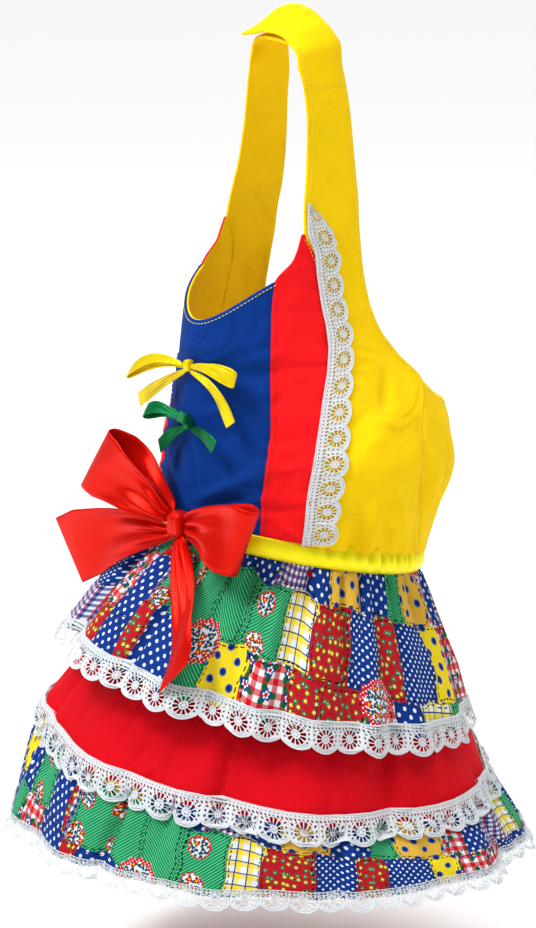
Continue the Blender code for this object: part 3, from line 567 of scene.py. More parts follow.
def ribbon_satin(name, base, gleam):
    """Polyester satin ribbon: long floats that throw broad highlights in the ribbon's own colour,
    and a fine rib across it."""
    made, tree, shader = new_material(name, 0.27, Specular_IOR_Level=0.9, Anisotropic=0.4,
                                      Metallic=0.4, Specular_Tint=colour(gleam))
    place = node(tree, "ShaderNodeUVMap", uv_map="flat_cloth")
    uneven_dye(tree, shader, place, base, 0.8, 90.0)
    weave(tree, shader, place, 0.6, 0.00004)
    return made


def sewing_thread(name, base):
    """Spun polyester thread: a soft gloss, twisted so finely that only its colour shows."""
    made, tree, shader = new_material(name, 0.5, Specular_IOR_Level=0.4)
    uneven_dye(tree, shader, node(tree, "ShaderNodeTexCoord", out="Object"), base, 0.7, 900.0)
    return made


def lace_thread(name, base):
    """Nylon lace: white with a cool cast, thin enough that what is behind it shines through."""
    made, _, shader = new_material(name, 0.6, Specular_IOR_Level=0.3, Alpha=0.72)
    shader.inputs["Base Color"].default_value = base
    return made


INK = {
    "white": "#D6DEE4", "blue": "#06307E", "navy": "#0C2264", "red": "#BE0A18", "green": "#00804A",
    "leaf": "#085A30", "yellow": "#E2CA20", "mustard": "#D2A83A", "thread": "#101116", "sky": "#2C5CB0",
    "mint": "#74CCA0", "crimson": "#AC1220",
}
# Lifts the gingham's half tone, where only one stripe runs
GINGHAM_TONE = 0.3
# A printed flower: waves around it, how deep they cut and how far they reach, shares of its size
LEAVES = (3.0, 1.0, 1.1)
PETALS_PRINTED = (5.0, 0.24, 1.0)
INNER_RING = 0.62
FLOWER_HEART = 0.36
OTHER_PETALS_FROM = 0.55
FLOWER_SPIN = 6.28
# A medallion's scallops, and how deep they cut as a share of its radius
MEDALLION_EDGE = (12.0, 0.07)
# The patches lie at a turn. Their edges drift (noise a millimetre, millimetres) and sway (radians a
# patch, share of a patch). PATCH_DRAW settles which print each patch gets.
PATCH_TURN = math.radians(-7)
PATCH_DRIFT = (0.05, 9.0)
PATCH_SWAY = (2.3, 0.16)
PATCH_DRAW = 0.23
# The printed running stitch: distance from the edge, half width, pitch, all in millimetres, and the
# share of the pitch that is inked; and the patch's printed rim: width and strength
PRINT_STITCH = (1.5, 0.36, 3.6, 0.62)
PRINT_RIM = (0.22, 0.45)
DIAGONAL = 0.7071


def printed(tree, mask, over, under):
    """One ink over another where the mask is 1; either may be an ink's name or a colour socket."""
    over, under = (colour(INK[ink]) if isinstance(ink, str) else ink for ink in (over, under))
    return node(tree, MIX, named={0: mask, 6: under, 7: over}, out=2, data_type="RGBA")


def printed_within(tree, value, limit, over, under):
    """One ink over another where a value is under its limit."""
    return printed(tree, node(tree, MATH, value, limit, operation="LESS_THAN"), over, under)


def dot_print(tree, place, pitch, radius, ground, dot, halo=None, halo_radius=0.0):
    """Staggered dots, pitch and radius in millimetres."""
    scaled = node(tree, VECTOR, place, named={"Scale": 1 / pitch}, operation="SCALE")
    apart = []
    for shift in (0.0, 0.5):
        moved = node(tree, VECTOR, scaled, (shift, shift, 0.0), operation="ADD")
        cell = node(tree, VECTOR, moved, operation="FRACTION")
        centred = node(tree, VECTOR, cell, (0.5, 0.5, 0.0), operation="SUBTRACT")
        apart.append(node(tree, VECTOR, centred, operation="LENGTH", out=1))
    nearest = node(tree, MATH, *apart, operation="MINIMUM")
    made = ground
    for ink, reach in ((halo, halo_radius), (dot, radius)):
        if ink:
            made = printed_within(tree, nearest, reach / pitch, ink, made)
    return made


def check_print(tree, place, size, ground, dye):
    """Gingham: crossing stripes, full colour where two cross and half where one runs."""
    scaled = node(tree, VECTOR, place, named={"Scale": 1 / size}, operation="SCALE")
    cell = node(tree, VECTOR, scaled, operation="FRACTION")
    parts = node(tree, "ShaderNodeSeparateXYZ", cell).node
    across, down = (node(tree, MATH, parts.outputs[at], 0.5, operation="LESS_THAN") for at in (0, 1))
    both = node(tree, MATH, across, down, operation="ADD")
    half = node(tree, MATH, both, 0.5, operation="MULTIPLY")
    half = node(tree, MATH, half, GINGHAM_TONE, operation="POWER")
    return printed(tree, half, dye, ground)


def line_print(tree, place, direction, pitch, share, ground, ink):
    """Parallel lines: twill ribs or a plaid's fine stripes."""
    along = node(tree, VECTOR, place, (*direction, 0.0), operation="DOT_PRODUCT", out=1)
    phase = node(tree, MATH, along, 1 / pitch, operation="MULTIPLY")
    cell = node(tree, MATH, phase, operation="FRACT")
    return printed_within(tree, cell, share, ink, ground)


def flower_print(tree, place, pitch, size, ground, inks, scatter=0.55):
    """Scattered small flowers with leaves, from the cells nearest to scattered points, sizes in
    millimetres. inks are petals, other petals, heart and, where it has one, an inner ring."""
    cells = node(tree, "ShaderNodeTexVoronoi", place, named={"Scale": 1 / pitch, "Randomness": scatter},
                 voronoi_dimensions="2D", out="Position").node
    away = node(tree, VECTOR, place, cells.outputs["Position"], operation="SUBTRACT")
    parts = node(tree, "ShaderNodeSeparateXYZ", away).node
    draw = node(tree, "ShaderNodeSeparateXYZ", cells.outputs["Color"]).node
    turn = node(tree, MATH, parts.outputs[1], parts.outputs[0], operation="ARCTAN2")
    spin = node(tree, MATH, draw.outputs[0], FLOWER_SPIN, turn, operation="MULTIPLY_ADD")
    reach = node(tree, VECTOR, away, operation="LENGTH", out=1)
    tips = []
    for count, cut, length in (LEAVES, PETALS_PRINTED):
        wave = node(tree, MATH, node(tree, MATH, spin, count, operation="MULTIPLY"),
                    operation="COSINE")
        tips.append(node(tree, MATH, wave, size * cut, size * length, operation="MULTIPLY_ADD"))
    made = printed_within(tree, reach, tips[0], "leaf", ground)
    other = node(tree, MATH, draw.outputs[1], OTHER_PETALS_FROM, operation="GREATER_THAN")
    made = printed_within(tree, reach, tips[1], printed(tree, other, inks[1], inks[0]), made)
    if len(inks) > 3:
        ring = node(tree, MATH, tips[1], INNER_RING, operation="MULTIPLY")
        made = printed_within(tree, reach, ring, inks[3], made)
    return printed_within(tree, reach, size * FLOWER_HEART, inks[2], made)


def medallion(tree, place, pitch, radius, ground, rim, inside):
    """Scalloped discs with an outline, filled with another print."""
    scaled = node(tree, VECTOR, place, (1 / pitch[0], 1 / pitch[1], 0.0), operation="MULTIPLY")
    cell = node(tree, VECTOR, scaled, operation="FRACTION")
    centred = node(tree, VECTOR, cell, (0.5, 0.5, 0.0), operation="SUBTRACT")
    away = node(tree, VECTOR, centred, (*pitch, 0.0), operation="MULTIPLY")
    parts = node(tree, "ShaderNodeSeparateXYZ", away).node
    turn = node(tree, MATH, parts.outputs[1], parts.outputs[0], operation="ARCTAN2")
    scallops, cut = MEDALLION_EDGE
    wave = node(tree, MATH, node(tree, MATH, turn, scallops, operation="MULTIPLY"), operation="COSINE")
    reach = node(tree, VECTOR, away, operation="LENGTH", out=1)
    made = ground
    for ink, share in ((rim[0], radius + rim[1]), (inside, radius)):
        tip = node(tree, MATH, wave, radius * cut, share, operation="MULTIPLY_ADD")
        made = printed_within(tree, reach, tip, ink, made)
    return made


def patchwork_cotton(name, patch):
    """Cotton poplin printed all over with patches of small checks, dots, twill and flowers, each
    edged with a printed running stitch: flat inks on a matt woven ground."""
    made, tree, shader = new_material(name, 0.85, Specular_IOR_Level=0.12)
    flat = node(tree, "ShaderNodeUVMap", uv_map="flat_cloth")
    weave(tree, shader, flat, crumple=0.0004)
    sized = node(tree, VECTOR, flat, named={"Scale": 1 / MM}, operation="SCALE")
    place = node(tree, "ShaderNodeVectorRotate", sized, named={"Angle": PATCH_TURN},
                 rotation_type="Z_AXIS")
    drift = node(tree, "ShaderNodeTexNoise", place, named={"Scale": PATCH_DRIFT[0], "Detail": 1.0},
                 out=1)
    drift = node(tree, VECTOR, drift, (0.5, 0.5, 0.5), operation="SUBTRACT")
    drift = node(tree, VECTOR, drift, (PATCH_DRIFT[1], PATCH_DRIFT[1], 0.0), operation="MULTIPLY")
    cut = node(tree, VECTOR, place, drift, operation="ADD")
    cell = node(tree, VECTOR, cut, (*patch, 1.0), operation="DIVIDE")
    parts = node(tree, "ShaderNodeSeparateXYZ", cell).node
    row = node(tree, MATH, parts.outputs[1], operation="FLOOR")
    shift = node(tree, "ShaderNodeTexWhiteNoise", named={"W": row}, noise_dimensions="1D")
    across = node(tree, MATH, parts.outputs[0], shift, operation="ADD")
    often, wide = PATCH_SWAY
    sway = node(tree, MATH, node(tree, MATH, across, often, operation="MULTIPLY"), operation="SINE")
    across = node(tree, MATH, sway, wide, across, operation="MULTIPLY_ADD")
    column = node(tree, MATH, across, operation="FLOOR")
    key = node(tree, "ShaderNodeCombineXYZ", column, row, PATCH_DRAW)
    draw = node(tree, "ShaderNodeTexWhiteNoise", key, noise_dimensions="3D").node
    inside = node(tree, "ShaderNodeCombineXYZ", node(tree, MATH, across, operation="FRACT"),
                  node(tree, MATH, parts.outputs[1], operation="FRACT"))
    inside = node(tree, VECTOR, inside, (0.5, 0.5, 0.0), operation="SUBTRACT")
    inside = node(tree, VECTOR, inside, (*patch, 0.0), operation="MULTIPLY")
    gingham = check_print(tree, place, 6.4, "white", "red")
    gingham_flowers = flower_print(tree, place, 13.0, 2.9, gingham, ("blue", "blue", "red", "white"),
                                   0.25)
    floral = flower_print(tree, place, 4.4, 0.95, "crimson", ("yellow", "green", "white"), 0.8)
    twill = line_print(tree, place, (DIAGONAL, DIAGONAL), 1.5, 0.2, "green", "mint")
    posy = flower_print(tree, place, 4.2, 1.5, "white", ("blue", "red", "yellow"), 0.3)
    small_check = check_print(tree, place, 4.0, "white", "blue")
    plaid = line_print(tree, place, (1.0, 0.0), 7.0, 0.1, check_print(
        tree, place, 7.0, "white", "yellow"), "blue")
    plaid = line_print(tree, place, (0.0, 1.0), 7.0, 0.1, plaid, "blue")
    blue_dots = dot_print(tree, place, 7.0, 1.05, "blue", "white")
    prints = (
        blue_dots,
        gingham_flowers,
        medallion(tree, place, (26.0, 22.0), 6.0, twill, ("red", 0.7), posy),
        floral,
        dot_print(tree, place, 13.0, 1.5, "mustard", "navy", "sky", 2.2),
        blue_dots,
        line_print(tree, place, (-DIAGONAL, DIAGONAL), 1.5, 0.2, "green", "mint"),
        gingham_flowers,
        blue_dots,
        floral,
        dot_print(tree, place, 13.0, 1.5, "yellow", "navy", "sky", 2.2),
        dot_print(tree, place, 4.6, 0.72, "blue", "white"),
        twill,
        blue_dots,
        line_print(tree, place, (1.0, 0.0), 4.0, 0.14, small_check, "red"),
        plaid,
    )
    print_colour = prints[0]
    for at, swatch in enumerate(prints[1:], 1):
        mask = node(tree, MATH, draw.outputs[0], at / len(prints), operation="GREATER_THAN")
        print_colour = printed(tree, mask, swatch, print_colour)
    away = node(tree, VECTOR, inside, operation="ABSOLUTE")
    to_edge = node(tree, VECTOR, (patch[0] / 2, patch[1] / 2, 0.0), away, operation="SUBTRACT")
    edges = node(tree, "ShaderNodeSeparateXYZ", to_edge).node
    edge = node(tree, MATH, edges.outputs[0], edges.outputs[1], operation="MINIMUM")
    inset, half_width_mm, pitch, inked = PRINT_STITCH
    along = node(tree, VECTOR, inside, (1 / pitch,) * 3, operation="DOT_PRODUCT", out=1)
    dash = node(tree, MATH, node(tree, MATH, along, operation="FRACT"), inked, operation="LESS_THAN")
    band = node(tree, MATH, edge, inset, half_width_mm, operation="COMPARE")
    stitch = node(tree, MATH, dash, band, operation="MULTIPLY")
    print_colour = printed(tree, stitch, "thread", print_colour)
    rim = node(tree, MATH, edge, PRINT_RIM[0], operation="LESS_THAN")
    rim = node(tree, MATH, rim, PRINT_RIM[1], operation="MULTIPLY")
    print_colour = printed(tree, rim, "thread", print_colour)
    pins = dot_print(tree, place, 2.4, 0.4, "red", "white")
    print_colour = medallion(tree, place, (117.0, 83.0), 9.0, print_colour, (pins, 2.6), posy)
    tree.links.new(print_colour, shader.inputs["Base Color"])
    return made


def stage_paper(name):
    """Matt pale paper for the floor: rough enough that it mirrors nothing."""
    made, _, shader = new_material(name, 0.9)
    shader.inputs["Base Color"].default_value = (0.96, 0.96, 0.96, 1.0)
    return made


# The materials by a short name, filled by the first operator
FINISH = {}


# The bodice

# Creases of the bodice: degrees from the front to the left, height, lean from upright in degrees,
# half length, half width and rise; lengths in millimetres
CREASES = (
    (16, -243, 62, 17, 2.6, 1.5), (20, -249, 68, 15, 2.2, -1.4), (6, -236, -12, 14, 2.4, 1.3),
    (3, -238, -14, 15, 2.0, -1.3), (-7, -250, -48, 14, 2.4, 1.4), (-10, -254, -50, 13, 2.0, -1.3),
    (18, -196, 80, 9, 2.0, -0.9), (14, -202, 70, 12, 2.6, 0.9), (24, -212, 60, 9, 2.2, -1.0),
    (-16, -212, -30, 15, 2.8, 0.8), (2, -182, 10, 16, 3.4, -0.8),
    (40, -180, 78, 12, 3.2, -1.3), (42, -172, 74, 11, 2.8, 1.0), (44, -214, 84, 10, 2.4, -0.9),
    (42, -228, 70, 11, 2.2, 0.9), (41, -250, 80, 10, 2.0, -1.0), (46, -262, -60, 9, 2.2, 1.0),
    (-40, -184, -76, 12, 3.0, 1.0), (-42, -220, -80, 11, 2.4, -1.0), (-42, -248, 76, 11, 2.2, 1.0),
    (72, -268, 4, 16, 3.4, -1.9), (64, -266, -6, 14, 3.0, 1.4), (80, -262, 8, 20, 3.6, 1.6),
    (88, -262, -16, 12, 2.8, -2.0), (94, -256, -24, 14, 3.0, 1.7), (92, -196, 30, 14, 4.0, -1.4),
    (84, -214, 50, 16, 5.0, 0.9), (104, -240, 6, 22, 3.6, -1.7), (112, -250, -8, 20, 3.4, 1.5),
    (124, -246, 4, 20, 3.6, -1.6), (140, -252, -6, 18, 3.4, 1.6), (156, -248, 6, 20, 3.6, -1.6),
    (174, -252, 0, 20, 3.4, 1.6), (-166, -250, -8, 20, 3.4, -1.6), (-148, -252, 6, 18, 3.4, 1.6),
    (-128, -246, 0, 20, 3.6, -1.6), (-110, -252, 8, 20, 3.4, 1.6), (-96, -250, -8, 20, 3.2, -1.6),
    (-84, -256, 10, 16, 3.2, 1.4), (-72, -264, -6, 14, 3.0, -1.4),
)
CREASE_REACH = 0.045
# Soft uneven creases all over: height and wavelength. Creases and puckers grow down the bodice from a
# least share, from a share of the drop to the waist and over another.
SOFT_CREASES = (0.3 * MM, 0.030)
CREASE_GROWTH = (0.3, 0.5, 0.15)
# Puckers beside a seam: wavelength and phase of each wave; how far from the seam they reach
PUCKERS = ((0.0091, 0.9), (0.0143, 2.1), (0.0237, 4.4))
PUCKER_REACH = 0.008
FRONT_PUCKER = 0.4
# Gathers above the waistband: waves around, height, and how far up they reach
WAIST_GATHERS = (34, 47)
WAIST_GATHER_HEIGHT = 0.0006
WAIST_GATHER_REACH = 0.016
# The waist is smooth in front: degrees from the front where gathers start, and to where they are full
FRILL_FROM = 55
FRILL_SPAN = 25
# The waistband's swell, and in its gathered part its frill, swell, upper edge and the edge's unevenness
BAND_SWELL = 0.0009
BAND_FRILL = 0.0011
FRILL_SWELL = 0.0010
FRILL_RISE = 0.0024
FRILL_RAGGED = 0.0014


def body_point(angle, z):
    """A point of the bodice's outline by its turn from the front to the left, at a height."""
    place = -z / HANG_TO_WAIST
    if math.cos(angle) > 0:
        power, depth = SECTION_AT["front_round"](place), FRONT_DEPTH * FRONT_SHARE(place)
    else:
        power, depth = SECTION_AT["back_round"](place), BACK_DEPTH * BACK_SHARE(place)
    across, ahead = (math.copysign(abs(part) ** (2 / power), part)
                     for part in (math.sin(angle), math.cos(angle)))
    return np.array((half_width(z) * across, -depth * ahead, z), float)


def crease_rise(points):
    """How far the body's creases lift the cloth at each point."""
    rise = np.zeros(points.shape[:-1])
    for turn, height, lean, half_length, half_wide, size in CREASES:
        turn, lean, height = math.radians(turn), math.radians(lean), height * MM
        middle = body_point(turn, height)
        across = unit(body_point(turn + 0.02, height) - body_point(turn - 0.02, height))
        way = np.array((0, 0, 1)) * math.cos(lean) + across * math.sin(lean)
        beside = across * math.cos(lean) - np.array((0, 0, 1)) * math.sin(lean)
        away = points - middle
        near = np.linalg.norm(away, axis=-1) < CREASE_REACH
        fade = (away @ way / (half_length * MM)) ** 2 + (away @ beside / (half_wide * MM)) ** 2
        rise += size * MM * np.exp(-fade) * near
    return rise * bpy.context.scene.dress.crease_share


def creased(grid, pucker=0.0):
    """The grid with soft creases, puckers beside its seams, and gathers above the waist at the sides
    and back. pucker is in millimetres."""
    normals = grid_normals(grid)
    start, span, least = CREASE_GROWTH
    deep = np.clip((-grid[..., 2] / HANG_TO_WAIST - start) / span, least, 1.0)
    lift = ripple(grid, *SOFT_CREASES, 5) * deep + crease_rise(grid)
    run = lengths(grid)
    to_seam = np.minimum(run, run[:, -1:] - run)
    waves = sum(np.sin(2 * math.pi * grid[..., 2] / wavelength + phase) for wavelength, phase in PUCKERS)
    lift += pucker * MM * waves * np.exp(-to_seam / PUCKER_REACH) * deep
    angle = np.arctan2(grid[..., 0], -(grid[..., 1] - WAIST_CENTRE_Y))
    waist = -HANG_TO_WAIST - WAIST_SLANT * (grid[..., 1] - WAIST_CENTRE_Y)
    near = np.exp(-np.maximum(grid[..., 2] - waist - BAND_HEIGHT, 0) / WAIST_GATHER_REACH)
    waves = sum(np.sin(count * angle + count) for count in WAIST_GATHERS)
    lift += WAIST_GATHER_HEIGHT * waves * near * frill_gate(angle)
    return grid + normals * lift[..., None]


def frill_gate(angle):
    """0 in front and 1 at the sides and back, where the waist is gathered."""
    turned = np.abs((np.degrees(angle) + 180) % 360 - 180)
    share = np.clip((turned - FRILL_FROM) / FRILL_SPAN, 0, 1)
    return share * share * (3 - 2 * share)


def blue_rows(inset, steps=40):
    """Rows of the blue panel from its scooped neckline to the waist, inset at both seams."""
    share = np.linspace(-1, 1, steps + 1)
    rows = []
    for row in range(NECK_ROW, LAST_ROW + 1):
        seam = edge_y("blue_y", row)
        reach = side_x(seam, row_z(row, seam)) - inset
        z = row_z(row, seam) - NECK_SCOOP * SCOOP_FADE[row - NECK_ROW] * (1 - share * share)
        y = front_y(reach * share, z)
        rows.append(np.stack([reach * share, y,
                              z - SECTION["slant"][row] * WAIST_SLANT * (y - seam)], -1))
    return rows


def make_front(spacing):
    """Blue centre, red panels beside it and the yellow facing behind them."""
    half = SEAM_GAP / 2
    blue = closer_rows(blue_rows(half), spacing)
    cloth("blue_center_panel", creased(blue, FRONT_PUCKER), COTTON, FINISH["blue"],
          lining=FINISH["yellow"], replaces=["bodice_center"])
    for side, word in SIDES:
        rows = side_rows(side, RED_TIP_ROW, LAST_ROW + 1, ("blue_y", half), ("red_y", -half), 20)
        cloth(f"red_panel_{word}", creased(closer_rows(rows, spacing), FRONT_PUCKER), COTTON,
              FINISH["red"], lining=FINISH["yellow"], replaces=[f"bodice_red_{word}"])
    facing = closer_rows(blue_rows(0.0), spacing)
    cloth("neckline_facing", creased(facing), FACING, FINISH["yellow"], top=-FACING_BEHIND,
          replaces=["front_lining"])


def make_sides(spacing, steps=36):
    """The yellow side panels with their straps."""
    half = SEAM_GAP / 2
    for (side, word), crest in zip(SIDES, (LEFT_CREST, RIGHT_CREST)):
        rows = []
        for front, rear in crest:
            line = np.linspace(front, rear, steps + 1) * STRAP_REACH * (side, 1, 1)
            rows.append(line if side > 0 else line[::-1])
        for start, end, red_gap, side_gap in (
                (0, RED_TIP_ROW, 0.0, 0.0), (RED_TIP_ROW, ARMPIT_ROW, half, 0.0),
                (ARMPIT_ROW, LAST_ROW + 1, half, -half)):
            rows += side_rows(side, start, end, ("red_y", red_gap), ("side_y", side_gap), steps)
        cloth(f"yellow_side_{word}", creased(closer_rows(rows, spacing)), DOUBLED_COTTON,
              FINISH["yellow"], replaces=[f"bodice_yellow_{word}"])


def make_back(spacing, steps=90):
    """The plain back panel from side seam to side seam."""
    rows = []
    for row in range(ARMPIT_ROW, LAST_ROW + 1):
        seam = edge_y("side_y", row) + SEAM_GAP / 2
        z_seam = row_z(row, seam)
        depth = BACK_DEPTH * BACK_SHARE(-z_seam / HANG_TO_WAIST)
        power = SECTION_AT["back_round"](-z_seam / HANG_TO_WAIST)
        start = math.asin((seam / depth) ** (power / 2))
        angle = np.linspace(start, math.pi - start, steps + 1)
        x = half_width(z_seam) * np.copysign(np.abs(np.cos(angle)) ** (2 / power), np.cos(angle))
        y = depth * np.sin(angle) ** (2 / power)
        level = 1 - np.abs(np.linspace(-1, 1, steps + 1)) ** BACK_LEVEL
        rows.append(np.stack([x, y, row_z(row, y) - BACK_SCOOP * BACK_FADE[row - ARMPIT_ROW] * level],
                             -1))
    cloth("yellow_back", creased(closer_rows(rows, spacing)), COTTON, FINISH["yellow"],
          replaces=["bodice_back"])


# The skirt


def waist_ring(angle, inset, drop):
    """The waist's oval at each angle, moved in by the inset and down by the drop."""
    y = WAIST_CENTRE_Y - (WAIST_HALF_DEPTH - inset) * np.cos(angle)
    z = -HANG_TO_WAIST - WAIST_SLANT * (y - WAIST_CENTRE_Y) - drop
    return np.stack([(WAIST_HALF_WIDTH - inset) * np.sin(angle), y, z], -1)


def hem_ring(angle, hem):
    """A tier's tilted hem circle at each angle."""
    radius, drop, centre_y, front_rise, right_rise = hem
    rise = front_rise * np.cos(angle) - right_rise * np.sin(angle)
    return np.stack([radius * np.sin(angle), centre_y - radius * np.cos(angle),
                     rise - HANG_TO_WAIST - drop], -1)


def tier(top, hem, profile, steps, push):
    """Rows of a tier from its top ring to its hem ring. push(angle, share) moves a point outwards."""
    angle = ring_angles(len(top))
    outward = np.stack([np.sin(angle), -np.cos(angle), np.zeros_like(angle)], -1)
    fall = np.linspace(0, 1, steps + 1)
    reach = smooth(*zip(*profile))(fall)
    rows = []
    for down, out in zip(fall, reach):
        line = top * (1, 1, 0) * (1 - out) + hem * (1, 1, 0) * out
        line += (0, 0, 1) * (top * (1 - down) + hem * down)
        rows.append(line + outward * push(angle, down)[:, None])
    return np.array(rows)


def ring_angles(count):
    """Even turns once around, from the front to the left."""
    return np.linspace(0, 2 * math.pi, count, endpoint=False)


def fold_push(angle, share):
    """How far the overskirt's folds pull the cloth in."""
    degrees = np.degrees(angle)
    total = np.zeros_like(angle)
    for centre, half, depth in OVERSKIRT_FOLDS:
        away = np.minimum(np.abs((degrees - centre + 180) % 360 - 180) / half, 1.0)
        total += depth * (0.5 + 0.5 * np.cos(math.pi * away))
    return -FOLD_DEPTH * total * min(share / FOLD_GROWTH, 1.0)


def wave_push(waves, angle, share):
    """Soft waves around a tier, deepest at its hem."""
    return share * sum(size * np.sin(count * angle + turn) for count, size, turn in waves)


def pleat_push(angle, share, deepest, pleats):
    """Sharp pleats that run down from a seam, each as deep as the tier's share of the deepest."""
    count, part, half, seed = pleats
    random = np.random.default_rng(seed)
    degrees = np.degrees(angle)
    total = np.zeros_like(angle)
    for pleat in range(count):
        centre = (360 * (pleat + random.uniform(-PLEAT_STRAY, PLEAT_STRAY)) / count
                  + random.uniform(-PLEAT_DRIFT, PLEAT_DRIFT) * share)
        depth = part * deepest * random.uniform(*PLEAT_DEPTHS)
        reach = random.uniform(*PLEAT_REACHES)
        width = half * random.uniform(*PLEAT_WIDTHS) * (1 + PLEAT_OPENS * share)
        turned = (degrees - centre + 180) % 360 - 180
        steep = random.choice((-1, 1))
        sides = np.where(turned * steep > 0, *(part_width * width for part_width in PLEAT_SIDES))
        away = np.minimum(np.abs(turned) / sides, 1.0)
        total += depth * (1 - away) ** PLEAT_ROUND * max(1 - (share / reach) ** 2, 0.0)
        total -= PLEAT_RIDGE * depth * np.sin(math.pi * away) * max(1 - share / reach, 0.0)
    return -total * min(share / PLEAT_START, 1.0)


def gathers(angle, share, made):
    """Small uneven gathers under a seam, dying away down the cloth."""
    count, size, fade, seed = made
    random = np.random.default_rng(seed)
    total = sum(np.sin(int(count * part) * angle + random.uniform(0, PHASES)) for part in GATHER_MIX)
    return size * total / len(GATHER_MIX) * math.exp(-share / fade) * min(share / GATHER_START, 1.0)


def make_waistband(columns):
    """The satin band: smooth in front, gathered on elastic at the sides and back."""
    angle = ring_angles(2 * columns)
    gate = frill_gate(angle)
    pucker = np.sin(63 * angle + 2.2 * np.sin(7 * angle)) + 0.6 * np.sin(41 * angle + 1.0)
    rows = []
    for share in np.linspace(0, 1, 13):
        arch = math.sin(math.pi * share)
        swell = BAND_SWELL * arch + gate * (BAND_FRILL * pucker * (1.2 - share) + FRILL_SWELL * arch)
        ring = waist_ring(angle, -swell, BAND_HEIGHT * (share - 1))
        ring[:, 2] += gate * (1 - share) ** 2 * (FRILL_RISE + FRILL_RAGGED * pucker)
        rows.append(ring)
    cloth("satin_waistband", np.array(rows), BAND_THICK, FINISH["lemon"], wrap=True,
          replaces=["waistband"])


def overskirt_grid(columns, pleat, steps=34):
    """The overskirt's outer face, from the waist to its hem."""
    angle = ring_angles(columns)

    def push(a, share):
        return (fold_push(a, share) + gathers(a, share, OVERSKIRT_GATHERS)
                + pleat_push(a, share, pleat, OVERSKIRT_PLEATS))
    return tier(waist_ring(angle, 0.0, SEAT_GAP), hem_ring(angle, OVERSKIRT_HEM), OVERSKIRT_PROFILE,
                steps, push)


def base_grid(columns, pleat, steps=44):
    """The red skirt's outer face, drawn in under the overskirt."""
    angle = ring_angles(columns)

    def push(a, share):
        out = min(share / TUCK_SHARE, 1.0)
        return (wave_push(BASE_WAVES, a, share) + pleat_push(a, share, pleat, BASE_PLEATS) * out
                - TUCK * math.sin(math.pi * out))
    return tier(waist_ring(angle, BASE_WAIST_INSET, SEAT_GAP), hem_ring(angle, BASE_HEM),
                BASE_PROFILE, steps, push)


def ruffle_grid(seam, pleat, steps=24):
    """The flounce's outer face, from just under the red skirt's hem."""
    angle = ring_angles(len(seam))
    hem = hem_ring(angle, RUFFLE_HEM)
    top = seam + unit_rows(hem - seam) * RUFFLE_GAP

    def push(a, share):
        return (wave_push(RUFFLE_WAVES, a, share) + gathers(a, share, RUFFLE_GATHERS)
                + pleat_push(a, share, pleat, RUFFLE_PLEATS))
    return tier(top, hem, RUFFLE_PROFILE, steps, push)


def make_skirt(columns, pleat):
    """The patchwork overskirt, the red skirt under it and the patchwork flounce on its hem."""
    base = base_grid(columns, pleat)
    for name, grid, finish, seat, stands_for in (
            ("patchwork_overskirt", overskirt_grid(columns, pleat), "patchwork", "satin_waistband",
             "overskirt"),
            ("red_skirt", base, "crimson", "satin_waistband", "skirt_base"),
            ("patchwork_flounce", ruffle_grid(base[-1], pleat), "patchwork", "red_skirt",
             "hem_ruffle")):
        cloth(name, grid, COTTON, FINISH[finish], wrap=True, held="gathered",
              replaces=[stands_for])


# Lace: one repeat of the pattern, laid along a carrier sheet by geometry nodes

LACE_THICK = 0.35
CARRIER_RIM = 0.00002
LACE_DEPTH = 3.0
PETALS = 12
PETAL_REACH = (2.2, 4.85)
PETAL_HALF_TURN = (0.135, 0.188)
# A petal's hole: wider at its foot, narrower at its shoulders, pointed at its tip
PETAL_FOOT = 1.6
PETAL_SHOULDER = 0.97
PETAL_TIP = 1.04
FLOWER_HEIGHT = 0.585
SCALLOP_ROUND = 0.7
# Slots: the net in the flower's middle (how many, distance, half length, half width), the rows along
# the lace (height share, half length, half width, turn), and those beside the flower (x, height
# share, half length, turn), mirrored
NET_SLOTS = (6, 1.15, 0.36, 0.24)
ROW_SLOTS = ((0.255, 0.9, 0.46, 0.9), (0.115, 0.5, 0.3, 0.4))
SLOTS_A_ROW = 7
SIDE_SLOTS = ((1.7, 0.37, 0.8, 0.5), (3.9, 0.33, 0.7, 0.2), (1.25, 0.49, 0.75, 1.1),
              (1.2, 0.63, 0.75, 2.0), (2.0, 0.745, 0.65, 2.5))
SIDE_SLOT_HALF_WIDTH = 0.40
# Raised threads: below the scalloped edge (how far, radius), and around the flower (distances, radius)
EDGE_CORDS = ((0.25, 0.33), (1.25, 0.24))
RING_CORDS = (1.95, 5.2)
RING_CORD_RADIUS = 0.22


def scallop_y(x, width):
    """Height of the lace's scalloped edge across one repeat, in millimetres."""
    return width - LACE_DEPTH * (1 - np.abs(np.sin(np.pi * x / PITCH_MM)) ** SCALLOP_ROUND)


def slot_loop(x, y, half_length, half_width, turn):
    """A small six-sided hole."""
    spots = [(-1, 0), (-0.6, 1), (0.6, 1), (1, 0), (0.6, -1), (-0.6, -1)]
    cos, sin = math.cos(turn), math.sin(turn)
    return [(x + cos * u * half_length - sin * v * half_width,
             y + sin * u * half_length + cos * v * half_width) for u, v in spots]


